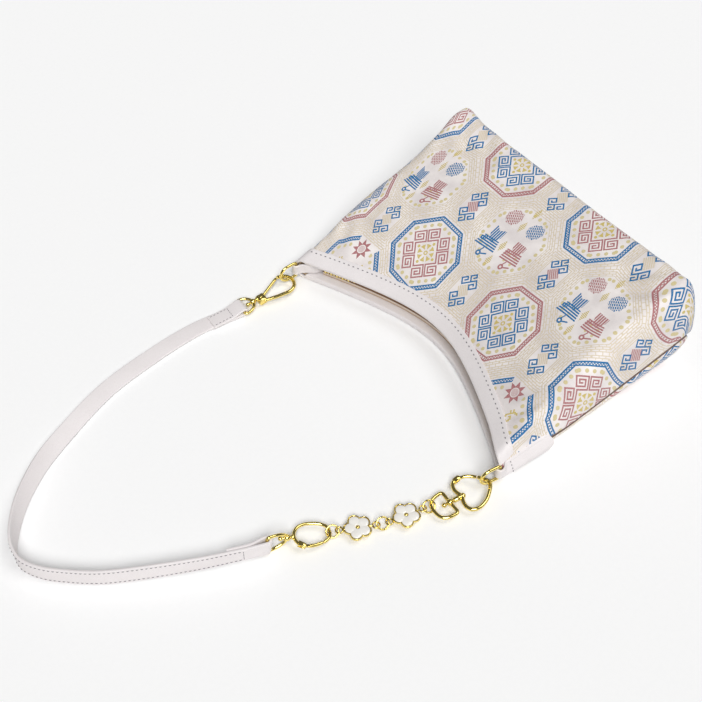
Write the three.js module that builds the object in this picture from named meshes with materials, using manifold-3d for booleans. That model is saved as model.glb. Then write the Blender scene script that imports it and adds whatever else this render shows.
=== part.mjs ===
// Brocade shoulder bag lying on its back: X across the bag, +Y toward the mouth, +Z up.
// Millimetres. The origin is on the flat of the back, midway between base and mouth.
import * as THREE from "three";
import Module from "manifold-3d";
import { mergeVertices } from "three/addons/utils/BufferGeometryUtils.js";

const wasm = await Module();
wasm.setup();

// Bag body
const HALF_WIDTH = 130;
const BASE_Y = -92;
const BASE_EDGE_Y = -78;
const BASE_DEPTH = 92;
const BASE_ROUND = 18;
const PANEL_BULGE = 5;
const WALL = 2;
const GAP = 0.3;
const SEAM_GAP = 0.6;
const MOUTH_MID_Y = 55.2;
const MOUTH_RISE = 43;
const MOUTH_HALF = 127;
const MOUTH_KNEE = 58;
const RIM_Z = 20;
const RIM_CROWN = 3;
const SEAM_Z_MOUTH = 9.5;
const SEAM_Z_BASE = 24;
const SHOULDER_MOUTH = 8;
const SHOULDER_MID = 24;
const SHOULDER_BASE = 13;
const SIDE_POWER = 2.6;
const BASE_POWER = 2.8;
const BACK_ROUND_MOUTH = 7;
const BACK_ROUND = 14;
const BACK_LIFT = 1.95;
const BACK_LIFT_FROM = 12;
const BACK_LIFT_RUN = 24;

// Soft dents of the front: centre x, centre y, reach x, reach y, depth
const DENTS = [
  { x: 104, y: -10, rx: 24, ry: 22, depth: 4 },
  { x: 92, y: -58, rx: 20, ry: 16, depth: 2.5 },
  { x: -92, y: -52, rx: 20, ry: 14, depth: 2.5 },
  { x: 0, y: -80, rx: 88, ry: 34, depth: 5 },
  { x: 134, y: -68, rx: 20, ry: 20, depth: -10 },
];

// Leather facings
const RIM_END = 124;
const RIM_SKIN = 1.3;
const RIM_OUTER = 10.2;
const RIM_INNER = 9;
const RIM_STATIONS = 22;

// Zip
const ZIP_END = 105;
const ZIP_INSET = 5;
const ZIP_PITCH = 10;

// Side tabs and D-rings
const TAB_SKIN = 1.8;
const TAB_TIP_Y = 51;
const TAB_HALF = 6.5;
const TAB_LOOP_HALF = 4.9;
const TAB_TIP_Z = 11.6;
const TAB_INSIDE_Z = 11.2;
const TAB_INSIDE_HALF = 4.2;
const RING_Y = 102.2;
const RING_Z = 9.8;
const RING_HALF = 7.25;
const RING_REACH = 15.8;
const RING_WIRE = 1.25;
const RING_YAW = { left: 0, right: -9 };
const TAB_LOOP = RING_WIRE + GAP + 0.15 + TAB_SKIN / 2;

// Strap
const STRAP_WIDTH = 13.5;
const STRAP_SKIN = 2.2;
const STRAP_FOLD = 28;
const EYE_HALF = 8.3;
const EYE_WIRE = 1.2;

// Clasps
const HOOK_WIRE = 1.5;
const GATE_WIRE = 1.3;
const OVAL_WIRE = 1.25;
const GATE_GAP = 0.4;
const POST = 0.9;
const BALL = 1.8;
const BOSS = 2.6;

// Charm chain
const LINK_RADIUS = 4.5;
const LINK_WIRE = 0.7;
const LINK_TILT = 42;
const CHAIN_Z = 4.05;
const FLOWER_RADIUS = 10.6;
const FLOWER_LOOP = 13.3;
const FLOWER_RIM = 0.9;

const V = (x, y, z) => new THREE.Vector3(x, y, z);
const rad = (deg) => deg * Math.PI / 180;
const lerp = (a, b, t) => a + (b - a) * t;
const clamp01 = (t) => Math.min(1, Math.max(0, t));
const ease = (t) => clamp01(t) ** 2 * (3 - 2 * clamp01(t));

// Meshes

function signedVolume(geometry) {
  const p = geometry.attributes.position.array;
  const index = geometry.index.array;
  let sum = 0;
  for (let i = 0; i < index.length; i += 3) {
    const [a, b, c] = [index[i] * 3, index[i + 1] * 3, index[i + 2] * 3];
    sum += p[a] * (p[b + 1] * p[c + 2] - p[b + 2] * p[c + 1]);
    sum += p[a + 1] * (p[b + 2] * p[c] - p[b] * p[c + 2]);
    sum += p[a + 2] * (p[b] * p[c + 1] - p[b + 1] * p[c]);
  }
  return sum / 6;
}

function meshOf(points, index) {
  const geometry = new THREE.BufferGeometry();
  const flat = points.flatMap((p) => [p.x, p.y, p.z]);
  geometry.setAttribute("position", new THREE.Float32BufferAttribute(flat, 3));
  geometry.setIndex(index);
  if (signedVolume(geometry) < 0) geometry.setIndex([...index].reverse());
  return geometry;
}

// Triangles of a plane outline, wound the same way as the outline
function capTriangles(outline) {
  const ring = outline.map(([x, y]) => new THREE.Vector2(x, y));
  const turn = Math.sign(THREE.ShapeUtils.area(ring));
  return THREE.ShapeUtils.triangulateShape(ring, []).map(([a, b, c]) => {
    const same = Math.sign(THREE.ShapeUtils.area([ring[a], ring[b], ring[c]])) === turn;
    return same ? [a, b, c] : [a, c, b];
  });
}

// A solid through a row of rings of points; the row may close on itself
function loft(rings, { closed = false, outline = null } = {}) {
  const n = rings[0].length;
  const m = rings.length;
  const index = [];
  for (let i = 0; i < (closed ? m : m - 1); i++) {
    const next = (i + 1) % m;
    for (let j = 0; j < n; j++) {
      const k = (j + 1) % n;
      index.push(i * n + j, i * n + k, next * n + k);
      index.push(i * n + j, next * n + k, next * n + j);
    }
  }
  if (!closed) {
    const fan = Array.from({ length: n - 2 }, (_, i) => [0, i + 1, i + 2]);
    const last = (m - 1) * n;
    for (const [a, b, c] of outline ? capTriangles(outline) : fan) {
      index.push(c, b, a);
      index.push(last + a, last + b, last + c);
    }
  }
  return meshOf(rings.flat(), index);
}

// A wall between two grids of points of the same size
function wallSolid(outer, inner) {
  const rows = outer.length;
  const cols = outer[0].length;
  const at = (i, j, side) => side * rows * cols + i * cols + j;
  const index = [];
  const quad = (a, b, c, d) => index.push(a, b, c, a, c, d);
  for (let i = 0; i < rows - 1; i++) {
    for (let j = 0; j < cols - 1; j++) {
      quad(at(i, j, 0), at(i, j + 1, 0), at(i + 1, j + 1, 0), at(i + 1, j, 0));
      quad(at(i, j, 1), at(i + 1, j, 1), at(i + 1, j + 1, 1), at(i, j + 1, 1));
    }
  }
  for (let j = 0; j < cols - 1; j++) {
    quad(at(0, j, 0), at(0, j, 1), at(0, j + 1, 1), at(0, j + 1, 0));
    const e = rows - 1;
    quad(at(e, j, 0), at(e, j + 1, 0), at(e, j + 1, 1), at(e, j, 1));
  }
  for (let i = 0; i < rows - 1; i++) {
    quad(at(i, 0, 0), at(i + 1, 0, 0), at(i + 1, 0, 1), at(i, 0, 1));
    const e = cols - 1;
    quad(at(i, e, 0), at(i, e, 1), at(i + 1, e, 1), at(i + 1, e, 0));
  }
  return meshOf([...outer.flat(), ...inner.flat()], index);
}

function toManifold(geometry) {
  const plain = geometry.clone();
  plain.deleteAttribute("normal");
  plain.deleteAttribute("uv");
  const merged = mergeVertices(plain, 1e-4);
  return new wasm.Manifold(new wasm.Mesh({
    numProp: 3,
    vertProperties: new Float32Array(merged.attributes.position.array),
    triVerts: new Uint32Array(merged.index.array),
  }));
}

function fromManifold(solid) {
  const mesh = solid.getMesh();
  const geometry = new THREE.BufferGeometry();
  geometry.setAttribute("position", new THREE.Float32BufferAttribute(mesh.vertProperties, 3));
  geometry.setIndex([...mesh.triVerts]);
  return geometry;
}

// Joins the first list, takes away the second, then joins the third
function carve(joined, removed = [], added = []) {
  let solid = joined.map(toManifold).reduce((a, b) => a.add(b));
  for (const tool of removed) solid = solid.subtract(toManifold(tool));
  for (const more of added) solid = solid.add(toManifold(more));
  return fromManifold(solid);
}

// Plane frames: p along, q across, h out of the plane

function frameOf(origin, along, across) {
  const P = along.clone().normalize();
  const N = P.clone().cross(across).normalize();
  const Q = N.clone().cross(P);
  const at = (p, q, h = 0) => origin.clone().addScaledVector(P, p).addScaledVector(Q, q).addScaledVector(N, h);
  return { P, Q, N, at };
}

const levelFrame = (origin, dx, dy, slope = 0) => frameOf(origin, V(dx, dy, slope), V(-dy, dx, 0));

function smooth(points, count, closed = false) {
  const spline = new THREE.CatmullRomCurve3(points.map(([p, q]) => V(p, q, 0)), closed, "centripetal");
  const list = spline.getSpacedPoints(count);
  if (closed) list.pop();
  return list.map((v) => [v.x, v.y]);
}

function wire(frame, path, radius, sides = 6, closed = false) {
  const n = path.length;
  const rings = path.map(([p, q], i) => {
    const a = path[closed ? (i + n - 1) % n : Math.max(i - 1, 0)];
    const b = path[closed ? (i + 1) % n : Math.min(i + 1, n - 1)];
    const len = Math.hypot(b[0] - a[0], b[1] - a[1]);
    const [np, nq] = [-(b[1] - a[1]) / len, (b[0] - a[0]) / len];
    return Array.from({ length: sides }, (_, k) => {
      const t = 2 * Math.PI * (k + 0.5) / sides;
      const side = radius * Math.cos(t);
      return frame.at(p + np * side, q + nq * side, radius * Math.sin(t));
    });
  });
  return loft(rings, { closed });
}

function prism(frame, outline, h0, h1) {
  const ring = (h) => outline.map(([p, q]) => frame.at(p, q, h));
  return loft([ring(h0), ring(h1)], { outline });
}

const circle = (p, q, r, n = 10) => Array.from({ length: n }, (_, k) => {
  const t = 2 * Math.PI * k / n;
  return [p + r * Math.cos(t), q + r * Math.sin(t)];
});

const box = (p0, q0, p1, q1) => [[p0, q0], [p1, q0], [p1, q1], [p0, q1]];

// A round bar along the frame's p axis
function bar(frame, p0, p1, r, sides = 10) {
  const ring = (p) => circle(0, 0, r, sides).map(([q, h]) => frame.at(p, q, h));
  return loft([ring(p0), ring(p1)]);
}

function ball(frame, p, r) {
  const geometry = new THREE.IcosahedronGeometry(r, 1);
  const c = frame.at(p, 0);
  geometry.translate(c.x, c.y, c.z);
  return geometry;
}

// Bag surfaces

function mouthY(x) {
  const rise = (Math.hypot(MOUTH_KNEE, x) - MOUTH_KNEE) / (Math.hypot(MOUTH_KNEE, MOUTH_HALF) - MOUTH_KNEE);
  return MOUTH_MID_Y + MOUTH_RISE * rise;
}

const seamZ = (y) => lerp(SEAM_Z_MOUTH, SEAM_Z_BASE, clamp01((20 - y) / 112) ** 1.4);
const arch = (t, power) => (1 - (1 - clamp01(t)) ** power) ** (1 / power);

function shoulder(v) {
  if (v < 0.45) return lerp(SHOULDER_MOUTH, SHOULDER_MID, ease((v - 0.1) / 0.35));
  return lerp(SHOULDER_MID, SHOULDER_BASE, ease((v - 0.45) / 0.55));
}

// Height of the front before its edges round over
function frontCrown(x, y) {
  const edge = mouthY(x);
  const k = Math.min((edge - y) / (edge - BASE_EDGE_Y), 1);
  const rim = RIM_Z + RIM_CROWN * (1 - (x / HALF_WIDTH) ** 2);
  let z = lerp(rim, BASE_DEPTH, k) + PANEL_BULGE * Math.sin(Math.PI * clamp01(k));
  for (const d of DENTS) {
    z -= d.depth * Math.exp(-(((x - d.x) / d.rx) ** 2) - ((y - d.y) / d.ry) ** 2);
  }
  return z;
}

const frontAt = (x, y, rise) => V(x, y, lerp(seamZ(y) + SEAM_GAP / 2, frontCrown(x, y), rise));

function frontSurface(x, y) {
  const edge = mouthY(x);
  const v = (edge - y) / (edge - BASE_Y);
  const side = arch((HALF_WIDTH - Math.abs(x)) / shoulder(clamp01(v)), SIDE_POWER);
  return frontAt(x, y, side * arch((y - BASE_Y) / BASE_ROUND, BASE_POWER));
}

const backRound = (v) => lerp(BACK_ROUND_MOUTH, BACK_ROUND, ease((v - 0.1) / 0.4));

function backAt(x, y, rise) {
  const lift = BACK_LIFT * (1 - ease((mouthY(x) - y - BACK_LIFT_FROM) / BACK_LIFT_RUN));
  return V(x, y, lerp(seamZ(y) - SEAM_GAP / 2, lift, rise));
}

function backSurface(x, y) {
  const edge = mouthY(x);
  const v = clamp01((edge - y) / (edge - BASE_Y));
  const side = arch((HALF_WIDTH - Math.abs(x)) / backRound(v), 2);
  return backAt(x, y, side * arch((y - BASE_Y) / BACK_ROUND, 2));
}

// Steps from the flat (0) to the seam (1) of a rounded edge, with the height left at each
function roundSteps(count, power) {
  return Array.from({ length: count }, (_, i) => {
    const a = ((i + 1) / count) ** 1.5 * Math.PI / 2;
    const r = (Math.cos(a) ** power + Math.sin(a) ** power) ** (-1 / power);
    return { out: r * Math.sin(a), rise: i === count - 1 ? 0 : r * Math.cos(a) };
  });
}

function panelGrid({ flatCols, sideSteps, flatRows, baseSteps, sideRound, baseRound, place }) {
  const half = [];
  for (let i = 1; i <= flatCols; i++) half.push({ f: i / flatCols, out: 0, rise: 1 });
  for (const s of sideSteps) half.push({ f: 1, ...s });
  const cols = [...half.map((c) => ({ ...c, s: -1 })).reverse(), { f: 0, out: 0, rise: 1, s: 1 },
    ...half.map((c) => ({ ...c, s: 1 }))];
  const rows = [];
  for (let i = 0; i <= flatRows; i++) rows.push({ v: (i / flatRows) ** 1.15, out: 0, rise: 1 });
  for (const s of baseSteps) rows.push({ v: 1, ...s });
  return rows.map((r) => cols.map((c) => {
    const reach = sideRound(r.v);
    const x = c.s * ((HALF_WIDTH - reach) * c.f + reach * c.out);
    const y = lerp(mouthY(x), BASE_Y + baseRound * (1 - r.out), r.v);
    return place(x, y, c.rise * r.rise);
  }));
}

const slopeNormal = (surface, x, y, d) => {
  const du = surface(x + d, y).sub(surface(x - d, y));
  const dv = surface(x, y + d).sub(surface(x, y - d));
  return du.cross(dv).normalize();
};

// The inner skin of a panel; the seam edges step straight inward, and no point passes the seam
function innerSkin(grid, surface, sign) {
  const rows = grid.length;
  const cols = grid[0].length;
  return grid.map((row, i) => row.map((point, j) => {
    const atSide = j === 0 || j === cols - 1;
    const atBase = i === rows - 1;
    if (atSide || atBase) {
      const top = grid[0][j].y;
      const y = point.y + WALL * (top - point.y) / (top - BASE_Y);
      return V(point.x * (1 - WALL / HALF_WIDTH), y, seamZ(y) + sign * SEAM_GAP / 2);
    }
    const inner = point.clone().addScaledVector(slopeNormal(surface, point.x, point.y, 0.05), -sign * WALL);
    const limit = seamZ(inner.y) + sign * SEAM_GAP / 2;
    inner.z = sign > 0 ? Math.max(inner.z, limit) : Math.min(inner.z, limit);
    return inner;
  }));
}

function frontPanel() {
  const grid = panelGrid({
    flatCols: 6, sideSteps: roundSteps(5, SIDE_POWER), flatRows: 12, baseSteps: roundSteps(5, BASE_POWER),
    sideRound: shoulder, baseRound: BASE_ROUND, place: frontAt,
  });
  return wallSolid(grid, innerSkin(grid, frontSurface, 1));
}

function backPanel() {
  const grid = panelGrid({
    flatCols: 6, sideSteps: roundSteps(3, 2), flatRows: 7, baseSteps: roundSteps(3, 2),
    sideRound: backRound, baseRound: BACK_ROUND, place: backAt,
  });
  return wallSolid(grid, innerSkin(grid, backSurface, -1));
}

// A point s inward from the mouth edge at x and h off the outside of a panel
function mouthPoint(surface, sign, x, s, h) {
  const slope = (mouthY(x + 0.1) - mouthY(x - 0.1)) / 0.2;
  const y = mouthY(x) - s * Math.hypot(1, slope);
  return surface(x, y).addScaledVector(slopeNormal(surface, x, y, 0.2), sign * h);
}

function rim(surface, sign) {
  const clear = GAP + 0.1;
  const top = clear + RIM_SKIN;
  const under = -WALL - clear;
  const deep = under - RIM_SKIN;
  const fold = 0.8 + RIM_SKIN;
  const outline = [
    [RIM_OUTER, clear], [RIM_OUTER, top], [-1, top], [-fold, top - 0.8],
    [-fold, deep + 0.8], [-1, deep], [RIM_INNER, deep], [RIM_INNER, under],
    [-0.8, under], [-0.8, clear],
  ];
  const rings = Array.from({ length: RIM_STATIONS + 1 }, (_, i) => {
    const x = lerp(-RIM_END, RIM_END, i / RIM_STATIONS);
    return outline.map(([s, h]) => mouthPoint(surface, sign, x, s, h));
  });
  return loft(rings, { outline });
}

// A strip along the mouth: s0 to s1 inward, between two heights
function mouthStrip(x0, x1, count, s0, s1, heights) {
  const rings = Array.from({ length: count + 1 }, (_, i) => {
    const x = lerp(x0, x1, i / count);
    const near = mouthPoint(frontSurface, 1, x, s0, 0);
    const far = mouthPoint(frontSurface, 1, x, s1, 0);
    const [z0, z1] = heights(x, i);
    return [V(near.x, near.y, z0), V(near.x, near.y, z1), V(far.x, far.y, z1), V(far.x, far.y, z0)];
  });
  return loft(rings);
}

const rimUnder = (x) => mouthPoint(frontSurface, 1, x, ZIP_INSET, -WALL - GAP - RIM_SKIN).z;
const rimOver = BACK_LIFT + WALL + GAP + RIM_SKIN;
const zipZ = (x) => lerp(rimOver, rimUnder(x), 0.42);

function zipTape() {
  const heights = (x) => [rimOver + 0.4, rimUnder(x) - 0.6];
  return mouthStrip(-ZIP_END, ZIP_END, 24, ZIP_INSET + 2.2, ZIP_INSET + 3, heights);
}

function zipTeeth() {
  const count = 2 * Math.round(2 * ZIP_END / ZIP_PITCH);
  const heights = (x, i) => {
    const half = i % 2 ? 2.5 : 1.6;
    return [zipZ(x) - half, zipZ(x) + half];
  };
  return mouthStrip(-ZIP_END + 2, ZIP_END - 2, count, ZIP_INSET, ZIP_INSET + 1.8, heights);
}

function zipSlider() {
  const heights = (x) => [zipZ(x) - 3, zipZ(x) + 3];
  return mouthStrip(-ZIP_END + 3, -ZIP_END + 13, 3, ZIP_INSET - 2.3, ZIP_INSET - 0.4, heights);
}

// A strip of leather standing on edge along a plan path, with its own height band at each point
function standingStrip(stations, skin) {
  const rings = stations.map(({ x, y, mid, half }, i) => {
    const a = stations[Math.max(i - 1, 0)];
    const b = stations[Math.min(i + 1, stations.length - 1)];
    const len = Math.hypot(b.x - a.x, b.y - a.y);
    const [nx, ny] = [-(b.y - a.y) / len * skin / 2, (b.x - a.x) / len * skin / 2];
    return [V(x + nx, y + ny, mid - half), V(x + nx, y + ny, mid + half),
      V(x - nx, y - ny, mid + half), V(x - nx, y - ny, mid - half)];
  });
  return loft(rings);
}

function sideTab(side) {
  const out = HALF_WIDTH + GAP + TAB_SKIN / 2 + 0.1;
  const radius = TAB_LOOP;
  const centre = out - radius;
  const stations = [];
  for (const d of [0.25, 1.1, 2.6, 4.5, 6.5, 18, 32, 46, RING_Y - TAB_TIP_Y - 1]) {
    const t = clamp01(d / (RING_Y - TAB_TIP_Y));
    const half = lerp(TAB_HALF, TAB_LOOP_HALF, ease(t * 1.2 - 0.2));
    const round = d < TAB_HALF ? Math.sqrt(1 - (1 - d / TAB_HALF) ** 2) : 1;
    stations.push({ x: out, y: TAB_TIP_Y + d, mid: lerp(TAB_TIP_Z, RING_Z + 0.6, ease(t)), half: half * round });
  }
  const flat = { mid: RING_Z + 0.6, half: TAB_LOOP_HALF };
  for (let i = 0; i <= 8; i++) {
    const a = Math.PI * i / 8;
    stations.push({ x: centre + radius * Math.cos(a), y: RING_Y + radius * Math.sin(a), ...flat });
  }
  const inside = [[0, -1.6], [-1, -3.4], [-3.6, -5.6], [-8, -8.6], [-13.4, -12]];
  for (const [dx, dy] of inside) {
    const t = ease(-dy / 5);
    const band = { mid: lerp(flat.mid, TAB_INSIDE_Z, t), half: lerp(flat.half, TAB_INSIDE_HALF, t) };
    stations.push({ x: centre - radius + dx, y: RING_Y + dy, ...band });
  }
  return standingStrip(stations.map((s) => ({ ...s, x: side * s.x })), TAB_SKIN);
}

const ringX = HALF_WIDTH + GAP + TAB_SKIN / 2 + 0.1 - TAB_LOOP;

function dRing(side, yaw) {
  const along = V(Math.sin(rad(yaw)) * side, Math.cos(rad(yaw)), 0);
  const frame = frameOf(V(side * ringX, RING_Y, RING_Z), along, V(0, 0, 1));
  const bend = RING_REACH - RING_HALF;
  const path = [[0, -5.4], [0, 0], [0, 5.4], [0.6, 6.7], [2, RING_HALF], [bend, RING_HALF]];
  for (let i = 1; i < 8; i++) {
    const a = Math.PI / 2 - Math.PI * i / 8;
    path.push([bend + RING_HALF * Math.cos(a), RING_HALF * Math.sin(a)]);
  }
  path.push([bend, -RING_HALF], [2, -RING_HALF], [0.6, -6.7]);
  return wire(frame, path, RING_WIRE, 6, true);
}

// Clasp frames. p runs from the swivel toward the bag or the chain.
const snapFrame = levelFrame(V(123.2, 150.2, 4.75), 0, -1, 0.056);
const snapEyeFrame = levelFrame(V(123.2, 150.2, 4.75), -0.06, -0.998, 0.05);
const heartEyeFrame = levelFrame(V(-124.9, 145.7, 4.6), -0.058, -0.998, 0.056);
const heartFrame = levelFrame(V(-124.9, 145.7, 4.6), -0.145, -0.989, 0.074);
const ovalFrame = levelFrame(V(-79.9, 256.9, 6.6), -0.421, -0.908, -0.09);
const ovalEyeFrame = frameOf(V(-79.9, 256.9, 6.6), V(-0.15, -0.98, -0.14), V(0, 0, 1));

const SNAP_EYE_BACK = 11.4;
const OVAL_EYE_BACK = 16;

// A swivel eye: straight bar for the strap at p = -back, round end at the boss
function swivelEye(frame, back, post) {
  const path = [[-back, -6.6], [-back, 0], [-back, 6.6], [-back + 0.5, 7.8], [-back + 2, EYE_HALF]];
  const long = back - 2;
  for (let i = 1; i < 12; i++) {
    const a = Math.PI / 2 - Math.PI * i / 12;
    path.push([-long + long * Math.cos(a), EYE_HALF * Math.sin(a)]);
  }
  path.push([-back + 2, -EYE_HALF], [-back + 0.5, -7.8]);
  const hole = bar(post, -6, 6, POST + GAP + 0.05);
  return carve([wire(frame, path, EYE_WIRE, 6, true), ball(frame, 0, BOSS)], [hole]);
}

function heartEye(frame, post) {
  const [wide, long, power] = [10.2, 13.6, 2.8];
  const path = [[0, -9], [0, -4], [0, 4], [0, 9]];
  for (let i = 0; i <= 12; i++) {
    const a = Math.PI / 2 - Math.PI * i / 12;
    const r = (Math.abs(Math.cos(a)) ** power + Math.abs(Math.sin(a)) ** power) ** (-1 / power);
    path.push([-1.2 - (long - 1.2) * r * Math.cos(a), wide * r * Math.sin(a)]);
  }
  const hole = bar(post, -6, 6, POST + GAP + 0.05);
  return carve([wire(frame, path, 1.35, 6, true), ball(frame, 0, BOSS)], [hole]);
}

const swivelPost = (frame, reach) => [
  ball(frame, -BOSS - BALL - 0.4, BALL), bar(frame, -BOSS - BALL, reach, POST, 6), bar(frame, BOSS + 0.4, reach, 2, 8),
];

// A half-space block beyond r from the hinge, or before it, square to the line toward (ep, eq)
function farBlock(frame, hinge, end, r0, r1) {
  const [dp, dq] = [end[0] - hinge[0], end[1] - hinge[1]];
  const len = Math.hypot(dp, dq);
  const [ap, aq] = [dp / len, dq / len];
  const corner = (r, w) => [hinge[0] + ap * r - aq * w, hinge[1] + aq * r + ap * w];
  return prism(frame, [corner(r0, -3.2), corner(r1, -3.2), corner(r1, 3.2), corner(r0, 3.2)], -4, 4);
}

// Two cheeks and a pin at a hinge, running back along the hook's wire
function hingeCheeks(frame, hinge, back) {
  const turn = Math.atan2(back[1], back[0]) + Math.PI;
  const outline = [];
  for (let i = 0; i <= 6; i++) {
    const a = turn - Math.PI / 2 + Math.PI * i / 6;
    outline.push([hinge[0] + 2.1 * Math.cos(a), hinge[1] + 2.1 * Math.sin(a)]);
  }
  const len = Math.hypot(...back);
  const [bp, bq] = [back[0] / len * 4.2, back[1] / len * 4.2];
  outline.push([outline[6][0] + bp, outline[6][1] + bq], [outline[0][0] + bp, outline[0][1] + bq]);
  return {
    cheeks: prism(frame, outline, -2.2, 2.2),
    slot: prism(frame, circle(...hinge, 2.4, 14), -1, 1),
    pin: prism(frame, circle(...hinge, 0.55, 8), -2.2, 2.2),
  };
}

// A gate bar with a flat tongue and eye round the hinge pin, cut square at its free end
function curvedGate(frame, hinge, path, end, reach) {
  const [dp, dq] = [path[1][0] - hinge[0], path[1][1] - hinge[1]];
  const len = Math.hypot(dp, dq);
  const [ap, aq] = [dp / len, dq / len];
  const tongue = [[-0.2, -1.1], [4.2, -1.1], [4.2, 1.1], [-0.2, 1.1]]
    .map(([a, b]) => [hinge[0] + ap * a - aq * b, hinge[1] + aq * a + ap * b]);
  const body = smooth(path, 7).slice(2);
  return carve(
    [wire(frame, body, GATE_WIRE), prism(frame, tongue, -0.65, 0.65), prism(frame, circle(...hinge, 1.8, 12), -0.65, 0.65)],
    [prism(frame, circle(...hinge, 0.88, 10), -2, 2), farBlock(frame, hinge, end, reach, reach + 6)],
  );
}

// Snap hook
const SNAP_HINGE = [7.2, -1.2];
const SNAP_TIP = [29.9, 9.3];
const SNAP_REACH = 24.5;

function snapHook(frame) {
  const path = [[7.5, -4.6], [18, -7.7], [26.8, -9.4]];
  for (let i = 0; i <= 10; i++) {
    const a = rad(lerp(-100, 92, i / 10));
    path.push([30 + 9.6 * Math.cos(a), -0.3 + 9.6 * Math.sin(a)]);
  }
  const block = prism(frame, box(4, -5.9, 10.6, 1.5), -2.7, 2.7);
  const swing = [[5.4, 3], [13.2, 3.5], [13.2, -6.6], [7.2, -3.9]];
  return carve(
    [...swivelPost(frame, 6), block, wire(frame, path, HOOK_WIRE)],
    [prism(frame, circle(...SNAP_HINGE, 2.5, 14), -1.6, 1.6), prism(frame, swing, -1.6, 1.6),
      farBlock(frame, SNAP_HINGE, SNAP_TIP, SNAP_REACH - 6, SNAP_REACH + GATE_GAP)],
    [prism(frame, circle(...SNAP_HINGE, 0.7, 10), -2.7, 2.7), prism(frame, circle(...SNAP_HINGE, 1.7, 12), 2.6, 3.3)],
  );
}

function snapGate(frame) {
  const [dp, dq] = [SNAP_TIP[0] - SNAP_HINGE[0], SNAP_TIP[1] - SNAP_HINGE[1]];
  const len = Math.hypot(dp, dq);
  const at = (r) => [SNAP_HINGE[0] + dp / len * r, SNAP_HINGE[1] + dq / len * r];
  return carve(
    [wire(frame, [at(1.2), at(12), at(SNAP_REACH)], 1.25, 8), prism(frame, circle(...SNAP_HINGE, 2.1, 12), -1.25, 1.25)],
    [prism(frame, circle(...SNAP_HINGE, 1.02, 10), -2, 2)],
  );
}

// Oval clasp
const OVAL_HINGE = [10.4, -8.2];
const OVAL_GATE = [[10.4, -8.2], [14.2, -9.1], [19.5, -8.9], [25.4, -7.4]];
const OVAL_REACH = 13.8;

function ovalHook(frame) {
  const path = smooth([[10, -8.1], [7.4, -6.3], [5.5, -3.2], [5, 0], [5.6, 3.5], [8.2, 7], [13, 9], [19.5, 8.9],
    [25.4, 7.4], [29.5, 4.3], [30.5, 0], [29.5, -4.1], [25.4, -7.4], [20.4, -8.8]], 24);
  const { cheeks, slot, pin } = hingeCheeks(frame, OVAL_HINGE, [-3, 1.9]);
  const end = OVAL_GATE[3];
  return carve(
    [...swivelPost(frame, 5), wire(frame, path, OVAL_WIRE), cheeks],
    [slot, farBlock(frame, OVAL_HINGE, end, 5.2, OVAL_REACH + GATE_GAP)], [pin],
  );
}

// Heart clasp
const HEART_HINGE = [15.5, 14.25];
const HEART_GATE = [[15.5, 14.25], [20, 13.4], [24.6, 11], [28.4, 7.6]];
const HEART_REACH = 13.5;

function heartHook(frame) {
  const near = smooth([[10.8, -0.5], [8.7, 4], [8.3, 9], [10.6, 13], [15, 14.3]], 8);
  const far = smooth([[10.8, 0.5], [8.7, -4], [8.3, -9], [10.6, -13], [15.6, -14.4], [23, -12], [29, -7], [32.7, -2.5],
    [33.5, 0], [32.7, 2.5], [29, 7], [25, 10.7]], 21);
  const { cheeks, slot, pin } = hingeCheeks(frame, HEART_HINGE, [-4, -0.9]);
  const end = HEART_GATE[3];
  return carve(
    [...swivelPost(frame, 11), ball(frame, 11, 2.1), wire(frame, near, HOOK_WIRE), wire(frame, far, HOOK_WIRE), cheeks],
    [slot, farBlock(frame, HEART_HINGE, end, 5, HEART_REACH + GATE_GAP)], [pin],
  );
}

// Charm chain, laid out from the heart's eye to the oval clasp
const step = (from, [dx, dy], length) => [from[0] + dx * length, from[1] + dy * length];
const CHAIN_DIR = [[0.27, 0.963], [0.21, 0.978], [0.36, 0.933], [0.46, 0.888], [0.42, 0.9075]];
const reachIn = LINK_RADIUS + 0.4;
const eyePoint = [-118.7, 158.1];
const link3 = step(eyePoint, CHAIN_DIR[0], LINK_RADIUS - 2.95);
const flower2 = step(step(link3, CHAIN_DIR[0], reachIn), CHAIN_DIR[1], FLOWER_LOOP);
const link2 = step(step(flower2, CHAIN_DIR[1], FLOWER_LOOP), CHAIN_DIR[2], reachIn);
const flower1 = step(step(link2, CHAIN_DIR[2], reachIn), CHAIN_DIR[3], FLOWER_LOOP);
const link1 = step(step(flower1, CHAIN_DIR[3], FLOWER_LOOP), CHAIN_DIR[4], reachIn);

function jumpRing([x, y], [dx, dy]) {
  const lean = rad(LINK_TILT);
  const across = V(-dy * Math.cos(lean), dx * Math.cos(lean), -Math.sin(lean)).negate();
  const frame = frameOf(V(x, y, CHAIN_Z), V(dx, dy, 0), across);
  return wire(frame, circle(0, 0, LINK_RADIUS, 16), LINK_WIRE, 5, true);
}

// Round five-petal outline, drawn in by inset
function petals(inset) {
  return Array.from({ length: 25 }, (_, k) => {
    const t = 2 * Math.PI * (k + 0.5) / 25;
    const r = FLOWER_RADIUS * (0.74 + 0.26 * Math.abs(Math.cos(2.5 * t))) - inset;
    return [r * Math.cos(t), r * Math.sin(t)];
  });
}

const flowerFrame = ([x, y], [dx, dy]) => levelFrame(V(x, y, CHAIN_Z), dx, dy);

function flowerSetting(frame) {
  const loops = [-1, 1].map((s) => wire(frame, circle(s * FLOWER_LOOP, 0, 2.55, 10), 0.6, 5, true));
  const arms = bar(frame, -FLOWER_LOOP + 2.4, FLOWER_LOOP - 2.4, 0.6, 6);
  return carve(
    [prism(frame, petals(0), -1, 1)],
    [prism(frame, petals(FLOWER_RIM), 0.1, 2)],
    [prism(frame, circle(0, 0, 1.3, 10), 0, 1.2), arms, ...loops],
  );
}

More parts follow.
